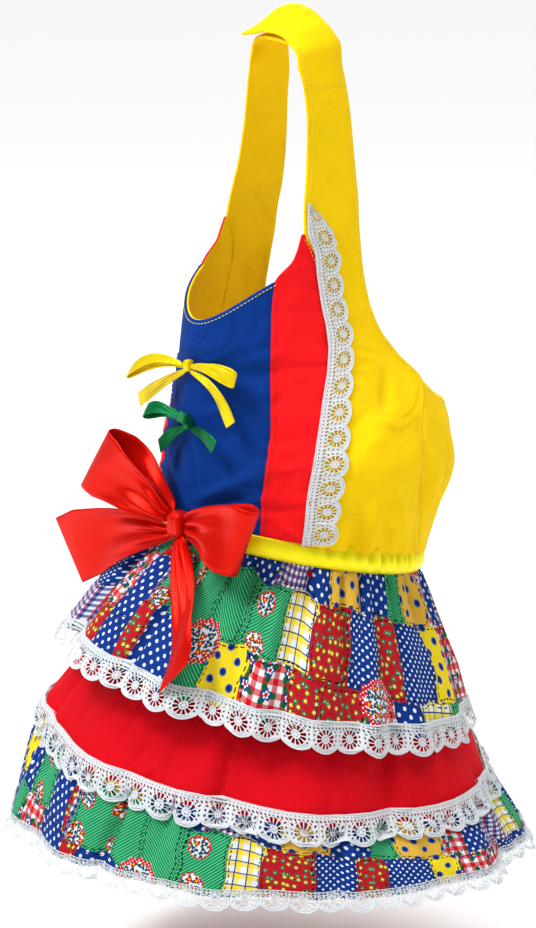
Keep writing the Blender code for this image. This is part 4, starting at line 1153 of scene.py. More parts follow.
def lace_holes(width):
    """The holes of one repeat: a flower of petals round a netted middle, and rows of slots."""
    middle = (PITCH_MM / 2, FLOWER_HEIGHT * width)
    near, far = PETAL_REACH
    half_near, half_far = PETAL_HALF_TURN
    spots = [(near, -half_near * PETAL_FOOT), (far * PETAL_SHOULDER, -half_far), (far * PETAL_TIP, 0),
             (far * PETAL_SHOULDER, half_far), (near, half_near * PETAL_FOOT)]
    loops = []
    for petal in range(PETALS):
        turn = 2 * math.pi * (petal + 0.5) / PETALS
        loops.append([(middle[0] + r * math.cos(turn + a), middle[1] + r * math.sin(turn + a))
                      for r, a in spots])
    count, away, *size = NET_SLOTS
    for spot in range(count):
        turn = 2 * math.pi / count * spot
        loops.append(slot_loop(middle[0] + away * math.cos(turn), middle[1] + away * math.sin(turn),
                               *size, turn))
    for spot in range(SLOTS_A_ROW):
        for height, *shape in ROW_SLOTS:
            loops.append(slot_loop((spot + 0.5) * PITCH_MM / SLOTS_A_ROW, height * width, *shape))
    for side in (0.0, 1.0):
        for x, y, length, turn in SIDE_SLOTS:
            loops.append(slot_loop(abs(side * PITCH_MM - x), y * width, length, SIDE_SLOT_HALF_WIDTH,
                                   turn if side == 0 else math.pi - turn))
    return loops


def fill_flat(loops):
    """Triangles that fill the first loop around the others, from a filled flat curve."""
    curve = bpy.data.curves.new("lace_outline", "CURVE")
    curve.dimensions = "2D"
    curve.fill_mode = "BOTH"
    for loop in loops:
        spline = curve.splines.new("POLY")
        spline.points.add(len(loop) - 1)
        spline.points.foreach_set("co", [v for x, y in loop for v in (x, y, 0.0, 1.0)])
        spline.use_cyclic_u = True
    outline = bpy.data.objects.new("lace_outline", curve)
    mesh = outline.to_mesh()
    points = np.array([tuple(vertex.co)[:2] for vertex in mesh.vertices])
    faces = [tuple(face.vertices) for face in mesh.polygons]
    facing = mesh.polygons[0].normal.z
    outline.to_mesh_clear()
    bpy.data.objects.remove(outline)
    bpy.data.curves.remove(curve)
    return points, faces if facing > 0 else [face[::-1] for face in faces]


def lace_repeat(width_mm):
    """One repeat of the lace as a mesh in millimetres, x along it, y across it, z its thickness."""
    line = np.linspace(0, PITCH_MM, 15)
    edge = [(x, scallop_y(x, width_mm)) for x in line]
    top = [(x, 0.0) for x in line[::-2]]
    points, faces = fill_flat([edge + top] + lace_holes(width_mm))
    count = len(points)
    half = LACE_THICK / 2
    vertices = [(x, y, half) for x, y in points] + [(x, y, -half) for x, y in points]
    edges = set()
    for face in faces:
        edges.update(zip(face, face[1:] + face[:1]))
    polygons = faces + [tuple(i + count for i in face[::-1]) for face in faces]
    for start, end in sorted(edges):
        on_border = max(points[start][0], points[end][0]) < 1e-4 or (
            min(points[start][0], points[end][0]) > PITCH_MM - 1e-4)
        if (end, start) not in edges and not on_border:
            polygons.append((end, start, start + count, end + count))
    middle = np.array((PITCH_MM / 2, FLOWER_HEIGHT * width_mm))
    ring = np.linspace(0, 2 * math.pi, 25)
    cords = [(line, [scallop_y(x, width_mm) - below for x in line], radius)
             for below, radius in EDGE_CORDS]
    cords += [(line[::2], [0.35] * 8, 0.28), (line[::2], [0.19 * width_mm] * 8, 0.2)]
    cords += [(middle[0] + r * np.cos(ring), middle[1] + r * np.sin(ring), RING_CORD_RADIUS)
              for r in RING_CORDS]
    for xs, ys, radius in cords:
        add_cord(vertices, polygons, np.array(xs), np.array(ys), radius)
    mesh = bpy.data.meshes.new("lace_repeat")
    mesh.from_pydata(vertices, [], polygons)
    return bpy.data.objects.new("lace_repeat", mesh)


def add_cord(vertices, polygons, xs, ys, radius):
    """A raised thread along a line: a strip of four sides."""
    along = np.stack([np.gradient(xs), np.gradient(ys)], -1)
    if abs(xs[0] - xs[-1]) < 1e-6 and len(xs) > 20:
        along[0] = along[-1] = (along[0] + along[-1]) / 2
    elif len(xs) > 2:
        along[0] = along[-1] = (1, 0)
    along /= np.linalg.norm(along, axis=1, keepdims=True)
    start = len(vertices)
    for x, y, (dx, dy) in zip(xs, ys, along):
        for side, rise in ((1, 0), (0, 1), (-1, 0), (0, -1)):
            vertices.append((x - dy * side * radius, y + dx * side * radius,
                             LACE_THICK / 2 + rise * radius * 0.9))
    for at in range(len(xs) - 1):
        for side in range(4):
            beside = (side + 1) % 4
            a = start + at * 4
            polygons.append((a + side, a + beside, a + beside + 4, a + side + 4))


def new_tree(name, **sockets):
    """A geometry node tree with named inputs, each with its kind, and one geometry output."""
    tree = bpy.data.node_groups.new(name, "GeometryNodeTree")
    for label, kind in sockets.items():
        tree.interface.new_socket(label, in_out="INPUT", socket_type=f"NodeSocket{kind}")
    tree.interface.new_socket("Geometry", in_out="OUTPUT", socket_type="NodeSocketGeometry")
    return tree, tree.nodes.new("NodeGroupInput").outputs


def lace_tree():
    """Lays repeats side by side and bends them onto a carrier by its UV map."""
    tree = bpy.data.node_groups.get("lace_on_carrier")
    if tree:
        return tree
    tree, given = new_tree("lace_on_carrier", Geometry="Geometry", Repeat="Object", Repeats="Int",
                           Pitch="Float", Width="Float", Thread="Material")
    step = node(tree, "ShaderNodeCombineXYZ", given["Pitch"])
    line = node(tree, "GeometryNodeMeshLine", named={"Count": given["Repeats"], "Offset": step},
                mode="OFFSET")
    repeat = node(tree, "GeometryNodeObjectInfo", named={"Object": given["Repeat"]}, out="Geometry")
    copies = node(tree, "GeometryNodeInstanceOnPoints", named={"Points": line, "Instance": repeat})
    strip = node(tree, "GeometryNodeRealizeInstances", copies)
    strip = node(tree, "GeometryNodeMergeByDistance", named={"Geometry": strip, "Distance": 0.01})
    place = node(tree, "GeometryNodeInputPosition")
    flat = node(tree, VECTOR, place, (MM, MM, 0.0), operation="MULTIPLY")
    strip = node(tree, "GeometryNodeStoreNamedAttribute",
                 named={"Geometry": strip, "Name": "flat_cloth", "Value": flat},
                 data_type="FLOAT2", domain="CORNER")
    total = node(tree, MATH, given["Pitch"], given["Repeats"], operation="MULTIPLY")
    size = node(tree, "ShaderNodeCombineXYZ", total, given["Width"], 1.0)
    share = node(tree, VECTOR, place, size, operation="DIVIDE")
    share = node(tree, VECTOR, share, (CARRIER_RIM,) * 3, operation="MAXIMUM")
    share = node(tree, VECTOR, share, (1 - CARRIER_RIM,) * 3, operation="MINIMUM")
    carrier_place = node(tree, "GeometryNodeInputNamedAttribute", named={"Name": "carrier"},
                         data_type="FLOAT_VECTOR")
    found = []
    for field in ("GeometryNodeInputPosition", "GeometryNodeInputNormal"):
        found.append(node(tree, "GeometryNodeSampleUVSurface", named={
            "Mesh": given["Geometry"], "Value": node(tree, field), "Source UV Map": carrier_place,
            "Sample UV": share}, data_type="FLOAT_VECTOR"))
    rise = node(tree, "ShaderNodeSeparateXYZ", place, out=2)
    lift = node(tree, MATH, rise, MM, operation="MULTIPLY")
    offset = node(tree, VECTOR, found[1], named={"Scale": lift}, operation="SCALE")
    target = node(tree, VECTOR, found[0], offset, operation="ADD")
    strip = node(tree, "GeometryNodeSetPosition", named={"Geometry": strip, "Position": target})
    strip = node(tree, "GeometryNodeSetShadeSmooth", named={"Geometry": strip, "Shade Smooth": False})
    strip = node(tree, "GeometryNodeRealizeInstances", strip)
    strip = node(tree, "GeometryNodeSetMaterial", named={"Geometry": strip, "Material": given["Thread"]})
    node(tree, "NodeGroupOutput", strip)
    return tree


def run_nodes(name, base, tree, **values):
    """The plain mesh that a node tree makes from an object, with the object taken away."""
    modifier = base.modifiers.new(tree.name, "NODES")
    modifier.node_group = tree
    for item in tree.interface.items_tree:
        if item.in_out == "INPUT" and item.name.replace(" ", "_") in values:
            modifier[item.identifier] = values[item.name.replace(" ", "_")]
    bpy.context.view_layer.update()
    graph = bpy.context.evaluated_depsgraph_get()
    mesh = bpy.data.meshes.new_from_object(base.evaluated_get(graph))
    mesh.name = name
    base.modifiers.remove(modifier)
    bpy.data.objects.remove(base)
    return new_object(name, mesh)


def lay_lace(name, carrier, repeats, width_mm, nodes, wrap):
    """Lace bent onto a carrier grid, whose rows run across the lace from its straight edge."""
    if wrap:
        carrier = np.concatenate([carrier, carrier[:, :1]], axis=1)
    rows, columns = carrier.shape[:2]
    mesh = bpy.data.meshes.new("carrier")
    mesh.from_pydata(carrier.reshape(-1, 3).tolist(), [],
                     grid_quads(np.arange(rows * columns).reshape(rows, columns)).tolist())
    mesh.shade_smooth()
    across, down = np.meshgrid(np.linspace(0, 1, columns), np.linspace(0, 1, rows))
    layer = mesh.uv_layers.new(name="carrier")
    order = np.empty(len(mesh.loops), int)
    mesh.loops.foreach_get("vertex_index", order)
    layer.data.foreach_set("uv", np.stack([across, down], -1).reshape(-1, 2)[order].ravel())
    repeat = lace_repeat(width_mm)
    bpy.context.scene.collection.objects.link(repeat)
    made = run_nodes(name, new_object("carrier", mesh), lace_tree(), Repeat=repeat, Repeats=repeats,
                     Pitch=PITCH_MM, Width=width_mm, Thread=FINISH["lace"])
    bpy.data.objects.remove(repeat)
    close_ends(made.data)
    keep(made, *nodes)


def close_ends(mesh):
    """Merge the seam of a ring and close the two ends of a strip."""
    shape = bmesh.new()
    shape.from_mesh(mesh)
    bmesh.ops.remove_doubles(shape, verts=shape.verts, dist=0.00002)
    bmesh.ops.holes_fill(shape, edges=[edge for edge in shape.edges if edge.is_boundary], sides=0)
    shape.to_mesh(mesh)
    shape.free()


def hem_carrier(grid, overlap, free, lift, wave, below=None):
    """Rows for lace on a hem: up the cloth by the overlap, and on past the hem by the free width."""
    run = lengths(grid[::-1].swapaxes(0, 1))
    normals = grid_normals(grid, True)
    columns = np.arange(grid.shape[1])
    angle = ring_angles(grid.shape[1])

    def on_cloth(distance):
        place = np.array([np.interp(distance, line, np.arange(len(line))) for line in run])
        low = np.minimum(place.astype(int), len(grid) - 2)
        rest = (place - low)[:, None]
        upward, facing = grid[::-1], normals[::-1]
        return (upward[low, columns] * (1 - rest) + upward[low + 1, columns] * rest,
                facing[low, columns] * (1 - rest) + facing[low + 1, columns] * rest)
    rows = []
    for distance in np.linspace(overlap, 0, 4)[:-1]:
        point, facing = on_cloth(distance)
        rows.append(point + facing * lift)
    hem, facing = grid[-1], normals[-1]
    start = on_cloth(HANGS_FROM)[0]
    fall = unit_rows(hem - start)
    for distance in np.linspace(0, free, 5):
        if below is None:
            point, out = hem + fall * distance, facing
        else:
            point, out = below(distance)
        flutter = wave * distance / free * np.sin(31 * angle + 2 * np.sin(3 * angle))
        rows.append(point + out * (lift + flutter[:, None]))
    return np.array(rows)


def unit_rows(vectors):
    """Each row of an array made one long."""
    return vectors / np.linalg.norm(vectors, axis=1, keepdims=True)


def make_lace():
    """The lace on each tier and over the two red and yellow seams."""
    over, base, ruffle = (GRIDS[name][0] for name in
                          ("patchwork_overskirt", "red_skirt", "patchwork_flounce"))
    run = lengths(ruffle.swapaxes(0, 1))
    facing = grid_normals(ruffle, True)

    def on_ruffle(distance):
        place = np.array([np.interp(distance, line, np.arange(len(line))) for line in run])
        low = place.astype(int)
        rest = (place - low)[:, None]
        columns = np.arange(ruffle.shape[1])
        return (ruffle[low, columns] * (1 - rest) + ruffle[low + 1, columns] * rest,
                facing[low, columns])
    for name, sizes, grid, below, node_name, seat in (
            ("overskirt_lace", OVERSKIRT_LACE, over, None, "lace_overskirt", "patchwork_overskirt"),
            ("skirt_lace", BASE_LACE, base, on_ruffle, "lace_base", "red_skirt"),
            ("flounce_lace", HEM_LACE, ruffle, None, "lace_hem", "patchwork_flounce")):
        overlap, free, repeats, lift, wave = sizes
        lay_lace(name, hem_carrier(grid, overlap, free, lift, wave, below), repeats,
                 (overlap + free) / MM, [node_name], True)
    for side, word in SIDES:
        make_seam_lace(side, word)


def make_seam_lace(side, word):
    """Lace over one red and yellow seam, running in from the neckline to the waist."""
    drops = SECTION["drop"]
    top = -HANG_TO_WAIST * (drops[RED_TIP_ROW - 1] * (1 - LACE_TOP_SHARE)
                            + drops[RED_TIP_ROW] * LACE_TOP_SHARE)
    seam_at = smooth(drops, [edge_y("red_y", row) for row in range(LAST_ROW + 1)])
    bottom = row_z(LAST_ROW, edge_y("red_y", LAST_ROW)) + SEAT_GAP
    z = np.linspace(top, bottom, 150)
    opened = np.clip((top - z + LACE_TOP_LAP) / LACE_PITCH, LACE_TOP_OPENING, 1.0)
    front = BODICE_LACE_INSET * np.clip((top - z) / LACE_PITCH - LACE_STRAIGHT_REPEATS, 0.0, 1.0)
    width = BODICE_LACE_WIDTH * opened * np.linspace(*LACE_TAPER, len(z))
    rows = []
    for share in np.linspace(0, 1, 7):
        y = seam_at(-z / HANG_TO_WAIST) - front + LACE_TOP_LAP + share * (width - LACE_TOP_LAP)
        rows.append(np.stack([side * side_x(y, z), y, z], -1))
    grid = np.array(rows)
    normals = np.cross(np.gradient(grid, axis=0), np.gradient(grid, axis=1))
    normals *= np.sign(normals[..., :1] * side)
    normals /= np.linalg.norm(normals, axis=2, keepdims=True)
    grid = grid + normals * (BODICE_LACE_LIFT + crease_rise(grid))[..., None]
    facing = np.cross(grid[1, 1] - grid[0, 1], grid[0, 2] - grid[0, 1])[0] * side
    if facing < 0:
        grid = grid[:, ::-1]
    lay_lace(f"seam_lace_{word}", grid, BODICE_LACE_REPEATS, BODICE_LACE_WIDTH / MM,
             [f"lace_bodice_{word}"], False)


# Stitches: short threads along lines on the cloth, by geometry nodes

STITCH_LIFT = 0.00018
# How far each row of stitches runs from its edge
NECKLINE_INSET = 0.0016
PANEL_INSET = 0.0022
SIDE_INSET = 0.0024
BACK_INSET = 0.0020
BAND_INSET = 0.0012
HEM_INSETS = {"patchwork_overskirt": 0.0062, "red_skirt": 0.0058, "patchwork_flounce": 0.0032}
# Stitches in the neckline are shorter and closer, and those in the hems wider apart. The threads'
# radii are in millimetres.
NECKLINE_STITCH = 0.85
HEM_SPACING = 1.1
BAND_THREAD = 0.14
HEM_THREAD = 0.16


def stitch_tree():
    """Sets short threads along the lines, each turned along its own line."""
    tree = bpy.data.node_groups.get("stitch_rows")
    if tree:
        return tree
    tree, given = new_tree("stitch_rows", Geometry="Geometry", Spacing="Float", Length="Float",
                           Radius="Float", Thread="Material")
    curve = node(tree, "GeometryNodeMeshToCurve", given["Geometry"])
    curve = node(tree, "GeometryNodeResampleCurve", named={"Curve": curve, "Length": given["Spacing"]},
                 mode="LENGTH")
    thread = node(tree, "GeometryNodeMeshUVSphere", named={"Segments": 6, "Rings": 4, "Radius": 1.0})
    half = node(tree, MATH, given["Length"], 0.5, operation="MULTIPLY")
    size = node(tree, "ShaderNodeCombineXYZ", given["Radius"], given["Radius"], half)
    thread = node(tree, "GeometryNodeTransform", named={"Geometry": thread, "Scale": size})
    tangent = node(tree, "GeometryNodeInputTangent")
    turn = node(tree, "FunctionNodeAlignRotationToVector", named={"Vector": tangent}, axis="Z")
    copies = node(tree, "GeometryNodeInstanceOnPoints",
                  named={"Points": curve, "Instance": thread, "Rotation": turn})
    made = node(tree, "GeometryNodeRealizeInstances", copies)
    made = node(tree, "GeometryNodeSetMaterial", named={"Geometry": made, "Material": given["Thread"]})
    node(tree, "NodeGroupOutput", made)
    return tree


def line_beside(name, edge, inset, start=0.0, stop=1.0):
    """Points on a piece's face that keep a distance from one of its edges."""
    grid, normals = GRIDS[name]
    if edge in ("top", "bottom"):
        grid, normals = grid.swapaxes(0, 1), normals.swapaxes(0, 1)
    if edge in ("right", "bottom"):
        grid, normals = grid[:, ::-1], normals[:, ::-1]
    first, last = int(start * (len(grid) - 1)), int(stop * (len(grid) - 1)) + 1
    points = []
    for line, facing, run in zip(grid[first:last], normals[first:last], lengths(grid)[first:last]):
        if run[-1] > 2 * inset:
            spot = [np.interp(inset, run, line[:, axis]) for axis in range(3)]
            points.append(np.array(spot) + facing[min(2, len(facing) - 1)] * STITCH_LIFT)
    return points


def sew(name, lines, thread, spacing, length, radius=0.2):
    """One piece of stitches along several lines of points; sizes in millimetres."""
    points, edges = [], []
    for line in lines:
        edges += [(len(points) + at, len(points) + at + 1) for at in range(len(line) - 1)]
        points += [tuple(point) for point in line]
    mesh = bpy.data.meshes.new(name)
    mesh.from_pydata(points, edges, [])
    made = run_nodes(name, new_object(name, mesh), stitch_tree(), Spacing=spacing * MM,
                     Length=length * MM, Radius=radius * MM, Thread=FINISH[thread])
    made.data.shade_smooth()
    keep(made)


def sew_dress(spacing, length):
    """All the topstitching that shows. The panels and their edges go by the same two words."""
    both = ("left", "right")
    neckline = [line_beside("blue_center_panel", "top", NECKLINE_INSET)]
    neckline += [line_beside(f"red_panel_{word}", inner, NECKLINE_INSET, 0.0, 0.22)
                 for word, inner in (("left", "right"), ("right", "left"))]
    sew("neckline_stitches", neckline, "yellow_thread", NECKLINE_STITCH * spacing,
        NECKLINE_STITCH * length)
    sew("blue_panel_stitches", [line_beside("blue_center_panel", edge, PANEL_INSET) for edge in both],
        "blue_thread", spacing, length)
    sew("red_panel_stitches", [line_beside(f"red_panel_{word}", edge, PANEL_INSET, 0.2)
                               for word in both for edge in both], "red_thread", spacing, length)
    sides = [line_beside(f"yellow_side_{word}", edge, SIDE_INSET, 0.03)
             for word in both for edge in both]
    sides += [line_beside("yellow_back", "top", SIDE_INSET)]
    sides += [line_beside("yellow_back", edge, BACK_INSET) for edge in both]
    sew("side_panel_stitches", sides, "yellow_thread", spacing, length)
    sew("waistband_stitches", [line_beside("satin_waistband", edge, BAND_INSET)
                               for edge in ("top", "bottom")], "yellow_thread", spacing, length,
        BAND_THREAD)
    sew("hem_stitches", [line_beside(name, "bottom", inset) for name, inset in HEM_INSETS.items()],
        "white_thread", HEM_SPACING * spacing, length, HEM_THREAD)


# Bows

# The scene's knots, as shares of the model's, wrapped tighter
KNOT_SHARE = (0.80, 1.0, 0.94)
# A knot's squareness, its waist, and its upright pleats: depth, number and slant
KNOT_SQUARE = 0.62
KNOT_WAIST = 0.12
KNOT_PLEATS = (0.06, 9, 0.8)


def make_bow(word, bow, finish, cover):
    """A bow's knot, two loops and two tails."""
    centre_y = front_y(0.0, -bow["drop"]) - cover - SEAT_GAP - bow["knot"][1]
    centre = np.array([0.0, centre_y, -bow["drop"]])
    make_knot(f"{word}_satin_knot", centre, np.array(bow["knot"]) * KNOT_SHARE, finish, f"{word}_bow_knot")
    for part, row in bow["rows"].items():
        grid = ribbon_grid(centre, bow, row)
        cloth(f"{word}_ribbon_{part}", grid, RIBBON_THICK, finish, top=RIBBON_THICK / 2, held="folded",
              replaces=[f"{word}_bow_{part}"])


def unit(vector):
    """A vector made one long."""
    return vector / np.linalg.norm(vector)


def ribbon_grid(centre, bow, row, steps=56, across=16):
    """Rows of points across one loop or tail: a loop runs out and back with its leaves apart."""
    end, edge_end, bend, puff, shown = row
    size = np.array(bow["knot"]) * KNOT_SHARE
    target = centre + np.array(end) * bow["reach"]
    start = unit(unit(target - centre) - np.array((0, 0, 0 if puff else TAIL_LEAN)))
    root = centre + start * (ROOT_CLEARANCE / np.linalg.norm(start / size) + SEAT_GAP)
    far = np.linalg.norm(target - root)
    direction = unit(target - root)
    edge_end = unit(np.array(edge_end))
    edge_start = unit(edge_end - direction * (edge_end @ direction))
    side = unit(np.cross(direction, edge_start))
    rows = []
    for turn in np.linspace(-1 if puff else 0, 1, steps + 1):
        along = 1 - abs(turn) ** LOOP_ROUND if puff else turn
        point = root + direction * (along * far) + np.array(bend) * (
            bow["reach"] * math.sin(math.pi * along))
        if puff:
            bulge = math.copysign(abs(math.sin(math.pi * turn)) ** LOOP_BULGE, turn)
            point = point + side * (puff * far * bulge + turn * LEAVES_APART)
        spread = min(along * RIBBON_OPENS, 1) ** RIBBON_SPREAD
        half = bow["ribbon"] * (ROOT_HALF + (0.5 * shown - ROOT_HALF) * spread)
        edge = unit(edge_start * (1 - along) + edge_end * along) * half
        rows.append(point + np.linspace(-1, 1, across + 1)[:, None] * edge)
    grid = np.array(rows)
    spot = np.linspace(-1, 1, across + 1)[None, :]
    turn = np.linspace(-1 if puff else 0, 1, steps + 1)[:, None]
    along = 1 - np.abs(turn) ** LOOP_ROUND if puff else turn
    near_knot = np.exp(-(along / 0.42) ** 2) * np.minimum(along / 0.08, 1)
    pleats = RIBBON_PLEATS * np.cos(8.5 * spot + 1) * near_knot
    waves = RIBBON_WAVES * np.sin(7.0 * along + 2.0 * spot + 3 * end[0]) * np.sin(math.pi * along)
    cup = RIBBON_HOLLOW * (1 - spot ** 2) * np.sin(math.pi * np.minimum(along * 1.1, 1))
    return grid + grid_normals(grid) * (bow["ribbon"] * (pleats + waves + cup))[..., None]


def make_knot(name, centre, size, finish, node_name, rings=26, around=48):
    """The ribbon's knot: a band of ribbon wrapped once from top to bottom, in upright pleats."""
    polar = np.linspace(0.1, math.pi - 0.1, rings)[:, None]
    angle = ring_angles(around)[None, :]

    def square(part):
        return np.sign(part) * np.abs(part) ** KNOT_SQUARE
    x = square(np.sin(polar)) * square(np.sin(angle))
    y = -square(np.sin(polar)) * square(np.cos(angle))
    z = square(np.cos(polar)) + 0 * angle
    x = x * (1 - KNOT_WAIST + KNOT_WAIST * z * z)
    deep, often, slant = KNOT_PLEATS
    y = y * (1 - deep + deep * np.cos(often * x + slant * z))
    points = np.stack([x, y, z], -1) * size + centre
    faces, marks = [], []
    for r in range(rings - 1):
        for c in range(around):
            d = (c + 1) % around
            faces.append((r * around + c, (r + 1) * around + c, (r + 1) * around + d, r * around + d))
            marks += [(c, r), (c, r + 1), (c + 1, r + 1), (c + 1, r)]
    for ring, order in ((0, 1), (rings - 1, -1)):
        cap = range(around)[::order]
        faces.append(tuple(ring * around + c for c in cap))
        marks += [(c, ring) for c in cap]
    mesh = bpy.data.meshes.new(name)
    mesh.from_pydata(points.reshape(-1, 3).tolist(), [], faces)
    step = 2 * math.pi * size[0] / around
    mesh.uv_layers.new(name="flat_cloth").data.foreach_set("uv", (np.array(marks) * step).ravel())
    mesh.shade_smooth()
    mesh.materials.append(finish)
    keep(new_object(name, mesh), node_name)


# The add-on

def dye_property(name, description, hex_code):
    """A colour that the user picks."""
    return bpy.props.FloatVectorProperty(name=name, description=description, subtype="COLOR", size=4,
                                         min=0.0, max=1.0, default=colour(hex_code))


def size_property(name, description, default, least, most):
    """A length that the user sets, in metres."""
    return bpy.props.FloatProperty(name=name, description=description, default=default, min=least,
                                   max=most, unit="LENGTH", precision=4)


class DressSettings(bpy.types.PropertyGroup):
    """The sizes and colours of the dress that a user would change."""
    blue: dye_property("Blue panel", "Colour of the middle front panel", "#003486")
    red: dye_property("Red panels", "Colour of the two red front panels", "#F5141A")
    skirt_red: dye_property("Red skirt", "Colour of the red tier", "#D20014")
    yellow: dye_property("Yellow panels", "Colour of the sides, back and lining", "#FDD200")
    waistband: dye_property("Waistband", "Colour of the satin waistband", "#FFF000")
    red_ribbon: dye_property("Red ribbon", "Colour of the large bow", "#DC1008")
    yellow_ribbon: dye_property("Yellow ribbon", "Colour of the upper small bow", "#F5D800")
    green_ribbon: dye_property("Green ribbon", "Colour of the lower small bow", "#00713D")
    lace: dye_property("Lace", "Colour of all the lace", "#DEE4E8")
    patch_width: size_property("Patch width", "Width of a printed patch", 0.024, 0.01, 0.06)
    patch_height: size_property("Patch height", "Height of a printed patch", 0.038, 0.01, 0.08)
    pleat_depth: size_property("Pleat depth", "Depth of the overskirt's deepest pleats", 0.0105, 0.0,
                               0.012)
    large_ribbon: size_property("Large ribbon", "Width of the red bow's ribbon", 0.038, 0.02, 0.05)
    small_ribbon: size_property("Small ribbon", "Width of the small bows' ribbon", 0.007, 0.004, 0.012)
    stitch_length: size_property("Stitch length", "Length of a stitch that shows", 0.0020, 0.001, 0.005)
    stitch_spacing: size_property("Stitch spacing", "Distance from stitch to stitch", 0.0026, 0.0012,
                                  0.01)
    crease_share: bpy.props.FloatProperty(
        name="Creases", description="How strong the bodice's creases are", default=1.6, min=0.0,
        max=2.5)
    grid_spacing: size_property("Grid spacing", "Distance between mesh rows of the bodice", 0.0016,
                                0.001, 0.01)
    skirt_columns: bpy.props.IntProperty(
        name="Skirt columns", description="Mesh columns around each skirt tier",
        default=396, min=96, max=600)


class DressOperator:
    """What every operator of the dress shares."""
    bl_options = {"REGISTER", "UNDO"}


class DRESS_OT_finishes(DressOperator, bpy.types.Operator):
    """Make the cloth, lace, ribbon and thread materials"""
    bl_idname = "dress.finishes"
    bl_label = "Finishes"

    def execute(self, context):
        dress = context.scene.dress
        FINISH.update(
            blue=woven_cotton("royal_blue_cotton", dress.blue),
            red=woven_cotton("red_cotton", dress.red),
            crimson=woven_cotton("deep_red_cotton", dress.skirt_red),
            yellow=woven_cotton("yellow_cotton", dress.yellow),
            lemon=ribbon_satin("lemon_satin", dress.waistband, "#FFFA90"),
            red_ribbon=ribbon_satin("red_satin_ribbon", dress.red_ribbon, "#FF7050"),
            yellow_ribbon=ribbon_satin("yellow_satin_ribbon", dress.yellow_ribbon, "#FFF080"),
            green_ribbon=ribbon_satin("green_satin_ribbon", dress.green_ribbon, "#70F0A8"),
            patchwork=patchwork_cotton("patchwork_print_cotton",
                                       (dress.patch_width / MM, dress.patch_height / MM)),
            lace=lace_thread("white_nylon_lace", dress.lace),
            yellow_thread=sewing_thread("yellow_sewing_thread", colour("#FFE440")),
            blue_thread=sewing_thread("blue_sewing_thread", colour("#00307A")),
            red_thread=sewing_thread("red_sewing_thread", colour("#C00A10")),
            white_thread=sewing_thread("white_sewing_thread", colour("#F4F4F0")),
        )
        return {"FINISHED"}


class DRESS_OT_front(DressOperator, bpy.types.Operator):
    """Make the blue and red front panels and the neckline's facing"""
    bl_idname = "dress.front"
    bl_label = "Front Panels"

    def execute(self, context):
        make_front(context.scene.dress.grid_spacing)
        return {"FINISHED"}


class DRESS_OT_sides(DressOperator, bpy.types.Operator):
    """Make the yellow side panels with their straps, and the back panel"""
    bl_idname = "dress.sides"
    bl_label = "Sides and Back"

    def execute(self, context):
        make_sides(context.scene.dress.grid_spacing)
        make_back(context.scene.dress.grid_spacing)
        return {"FINISHED"}


class DRESS_OT_waistband(DressOperator, bpy.types.Operator):
    """Make the satin waistband"""
    bl_idname = "dress.waistband"
    bl_label = "Waistband"

    def execute(self, context):
        make_waistband(context.scene.dress.skirt_columns)
        return {"FINISHED"}


class DRESS_OT_skirt(DressOperator, bpy.types.Operator):
    """Make the skirt's three tiers"""
    bl_idname = "dress.skirt"
    bl_label = "Skirt"

    def execute(self, context):
        make_skirt(context.scene.dress.skirt_columns, context.scene.dress.pleat_depth)
        return {"FINISHED"}


class DRESS_OT_lace(DressOperator, bpy.types.Operator):
    """Lay the lace along the tiers' edges and the bodice's seams"""
    bl_idname = "dress.lace"
    bl_label = "Lace"

    def execute(self, context):
        make_lace()
        return {"FINISHED"}


class DRESS_OT_stitches(DressOperator, bpy.types.Operator):
    """Make the topstitching on the panels, the waistband and the hems"""
    bl_idname = "dress.stitches"
    bl_label = "Stitches"

    def execute(self, context):
        sew_dress(context.scene.dress.stitch_spacing / MM, context.scene.dress.stitch_length / MM)
        return {"FINISHED"}


class DRESS_OT_bows(DressOperator, bpy.types.Operator):
    """Make the three ribbon bows"""
    bl_idname = "dress.bows"
    bl_label = "Bows"

    def execute(self, context):
        dress = context.scene.dress
        for word, bow in BOWS.items():
            large = word == "red"
            band = WAIST_HALF_DEPTH - WAIST_CENTRE_Y + front_y(0.0, -bow["drop"]) + BAND_UNDER_BOW
            bow = dict(bow, ribbon=dress.large_ribbon if large else dress.small_ribbon)
            make_bow(word, bow, FINISH[f"{word}_ribbon"], band if large else 0.0)
        return {"FINISHED"}


class DRESS_OT_stage(DressOperator, bpy.types.Operator):
    """Make the floor, the lights and the camera"""
    bl_idname = "dress.stage"
    bl_label = "Stage"

    def execute(self, context):
        make_stage()
        return {"FINISHED"}


class DRESS_PT_panel(bpy.types.Panel):
    """The dress's sizes and steps"""
    bl_idname = "DRESS_PT_panel"
    bl_label = "Dog Dress"
    bl_space_type = "VIEW_3D"
    bl_region_type = "UI"
    bl_category = "Dress"

    def draw(self, context):
        settings = context.scene.dress
        for name in settings.bl_rna.properties.keys():
            if name not in ("rna_type", "name"):
                self.layout.prop(settings, name)
        for operator in OPERATORS:
            self.layout.operator(operator.bl_idname)


# The camera looks from the dress's front left and slightly above, as the photograph does
CAMERA_AZIMUTH = math.radians(50)
CAMERA_ELEVATION = math.radians(16)
CAMERA_DISTANCE = 1.5
CAMERA_TARGET = Vector((0.0, -0.019, -0.242))
PICTURE_HEIGHT = 928
METRES_A_PIXEL = 0.00054
SENSOR = 36.0
FLOOR_Z = -0.56
FLOOR_HALF = 12.0
CEILING_STRENGTH = 2.1
CEILING_SPREAD = math.radians(50)
WORLD_STRENGTH = 0.32
# Lamps: degrees from the front to the left, degrees up, metres away, metres across, watts
LAMPS = {
    "key_lamp": (-12, 52, 1.6, 0.5, 22),
    "side_lamp": (128, 34, 1.8, 0.7, 5),
    "back_lamp": (230, 50, 1.8, 0.9, 6),
}


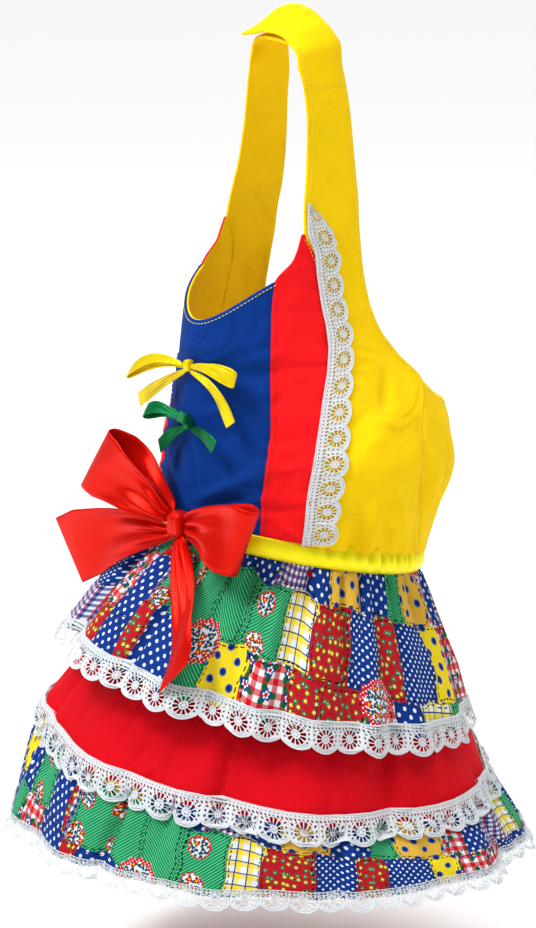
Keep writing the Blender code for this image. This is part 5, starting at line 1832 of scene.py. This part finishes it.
def aim(made, azimuth, elevation, distance):
    """Put an object at a direction and distance from the dress, looking at it."""
    back = Vector((math.sin(azimuth) * math.cos(elevation), -math.cos(azimuth) * math.cos(elevation),
                   math.sin(elevation)))
    made.location = CAMERA_TARGET + back * distance
    made.rotation_euler = back.to_track_quat("Z", "Y").to_euler()


def make_stage():
    """A wide pale floor, soft lamps and the camera."""
    half = FLOOR_HALF
    corners = ((-half, -half, FLOOR_Z), (half, -half, FLOOR_Z), (half, half, FLOOR_Z),
               (-half, half, FLOOR_Z))
    mesh = bpy.data.meshes.new("pale_floor")
    mesh.from_pydata(corners, [], [(0, 1, 2, 3)])
    mesh.materials.append(stage_paper("pale_paper"))
    new_object("pale_floor", mesh)
    world = bpy.context.scene.world or bpy.data.worlds.new("studio")
    bpy.context.scene.world = world
    world.use_nodes = True
    background = world.node_tree.nodes["Background"].inputs
    background["Color"].default_value = (1.0, 1.0, 1.0, 1.0)
    background["Strength"].default_value = WORLD_STRENGTH
    for name, (azimuth, elevation, distance, size, power) in LAMPS.items():
        light = bpy.data.lights.new(name, "AREA")
        light.size = size
        light.energy = power
        aim(new_object(name, light), math.radians(azimuth), math.radians(elevation), distance)
    sky = bpy.data.lights.new("ceiling_light", "SUN")
    sky.energy = CEILING_STRENGTH
    sky.angle = CEILING_SPREAD
    new_object("ceiling_light", sky)
    camera = bpy.data.cameras.new("camera")
    camera.sensor_width = SENSOR
    camera.sensor_fit = "AUTO"
    camera.lens = CAMERA_DISTANCE / METRES_A_PIXEL * SENSOR / PICTURE_HEIGHT
    view = new_object("camera", camera)
    aim(view, CAMERA_AZIMUTH, CAMERA_ELEVATION, CAMERA_DISTANCE)
    bpy.context.scene.camera = view
    bpy.context.scene.view_settings.view_transform = "Standard"


OPERATORS = (DRESS_OT_finishes, DRESS_OT_front, DRESS_OT_sides, DRESS_OT_waistband, DRESS_OT_skirt,
             DRESS_OT_lace, DRESS_OT_stitches, DRESS_OT_bows, DRESS_OT_stage)
CLASSES = (DressSettings, *OPERATORS, DRESS_PT_panel)


def register():
    """Add the dress's settings, steps and panel."""
    for kind in CLASSES:
        bpy.utils.register_class(kind)
    bpy.types.Scene.dress = bpy.props.PointerProperty(type=DressSettings)


def unregister():
    """Take them away again."""
    del bpy.types.Scene.dress
    for kind in reversed(CLASSES):
        bpy.utils.unregister_class(kind)


def main():
    """Build the dress and its stage."""
    register()
    bpy.ops.dress.finishes()
    bpy.ops.dress.front()
    bpy.ops.dress.sides()
    bpy.ops.dress.waistband()
    bpy.ops.dress.skirt()
    bpy.ops.dress.lace()
    bpy.ops.dress.stitches()
    bpy.ops.dress.bows()
    bpy.ops.dress.stage()


if __name__ == "__main__":
    main()
